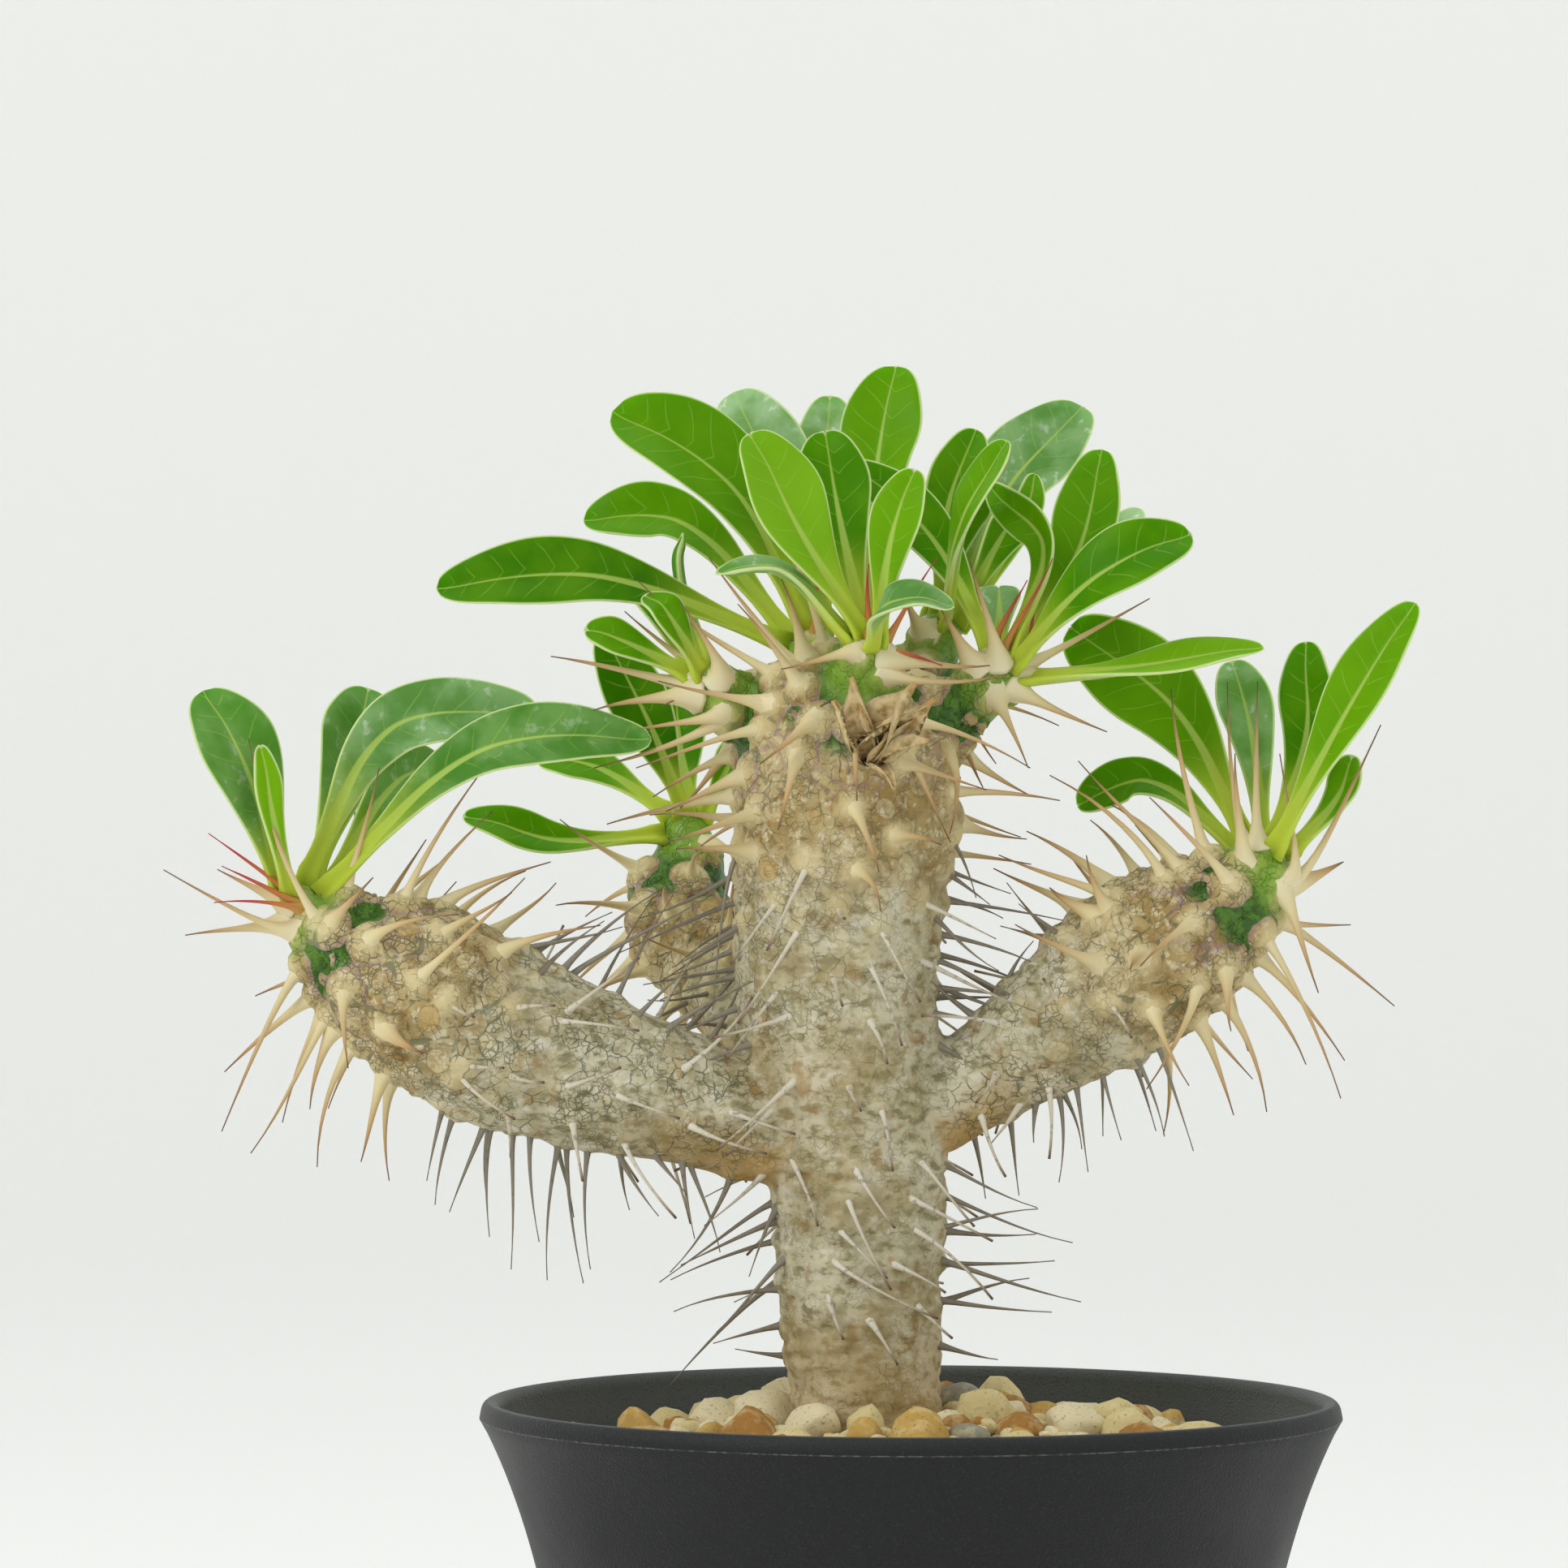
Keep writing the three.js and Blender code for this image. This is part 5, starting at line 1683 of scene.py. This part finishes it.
# ---------------------------------------------------------------- studio
@dataclass
class Studio:
    """A pale round sweep, soft lights and the camera, in metres."""

    floor_radius: float = 2.0
    wall_radius: float = 2.7
    wall_height: float = 1.9
    sides: int = 64
    camera_place: tuple[float, float, float] = (-0.01766, -1.0, 0.1908)
    lens: float = 164.6
    sensor: float = 36.0
    daylight: float = 0.32
    aim: tuple[float, float, float] = (-0.01, 0.0, 0.17)  # where the lights look
    # each light's name, place, side and watts
    lights: tuple[tuple[str, tuple[float, float, float], float, float], ...] = (
        ("key_light", (-1.1, -1.0, 1.5), 0.8, 13), ("fill_light", (1.3, -0.9, 0.9), 1.1, 1.5),
        ("top_light", (0.1, 0.3, 1.8), 1.4, 8),
    )

    def sweep(self) -> bpy.types.Object:
        """Builds the floor that curves up into a wall all round.

        Returns:
            The sweep.
        """
        bend = self.wall_radius - self.floor_radius
        angle = np.linspace(0, math.pi / 2, 12)
        rows = [(0.02, 0.0), (0.5, 0.0), (1.2, 0.0)]
        rows += [(self.floor_radius + bend * math.sin(a), bend * (1 - math.cos(a))) for a in angle]
        rows.append((self.wall_radius, self.wall_height))
        turn = full_turn(self.sides)
        points = [(r * math.cos(a), r * math.sin(a), z) for r, z in rows for a in turn]
        faces = grid_faces(len(rows), self.sides) + [tuple(range(self.sides))[::-1]]
        sweep = make_object("studio_sweep", np.array(points) / MM, faces)
        sweep.data.materials.append(SweepPaper("background_paper_rolled", 0.9).build())
        return sweep

    def light(self, name: str, place: Sequence[float], size: float, power: float) -> None:
        """Hangs one soft square light that looks at the plant.

        Args:
            name: the light's name.
            place: where it hangs.
            size: its side.
            power: its watts.
        """
        lamp = bpy.data.lights.new(name, "AREA")
        lamp.shape, lamp.size, lamp.energy = "SQUARE", size, power
        made = bpy.data.objects.new(name, lamp)
        made.location = place
        aim = Vector(self.aim) - Vector(place)
        made.rotation_euler = aim.to_track_quat("-Z", "Y").to_euler()
        bpy.context.scene.collection.objects.link(made)

    def build(self) -> None:
        """Builds the sweep, the lights, the daylight and the camera."""
        self.sweep()
        for row in self.lights:
            self.light(*row)
        world = bpy.data.worlds.new("studio_daylight")
        world.use_nodes = True
        background = world.node_tree.nodes["Background"]
        background.inputs["Color"].default_value = linear("f8faff")
        background.inputs["Strength"].default_value = self.daylight
        bpy.context.scene.world = world
        bpy.context.scene.view_settings.view_transform = "Standard"
        camera = bpy.data.cameras.new("camera")
        camera.sensor_width, camera.lens = self.sensor, self.lens
        made = bpy.data.objects.new("camera", camera)
        made.location = self.camera_place
        made.rotation_euler = (math.pi / 2, 0, 0)
        bpy.context.scene.collection.objects.link(made)
        bpy.context.scene.camera = made


def main() -> None:
    """Builds the studio, then the plant from the pot up, and reports each piece."""
    logging.basicConfig(level=logging.INFO, format="%(name)s: %(message)s")
    sections: tuple[tuple[str, Callable[[], None]], ...] = (
        ("studio", Studio().build),
        ("pot", Pot().build),
        ("soil", dress_soil),
        ("gravel", Gravel().build),
        ("stem", Stem().build),
        ("leaves", Foliage().build),
        ("dried flower", DriedFlower().build),
    )
    for name, build in sections:
        LOG.info("building the %s", name)
        build()


if __name__ == "__main__":
    main()
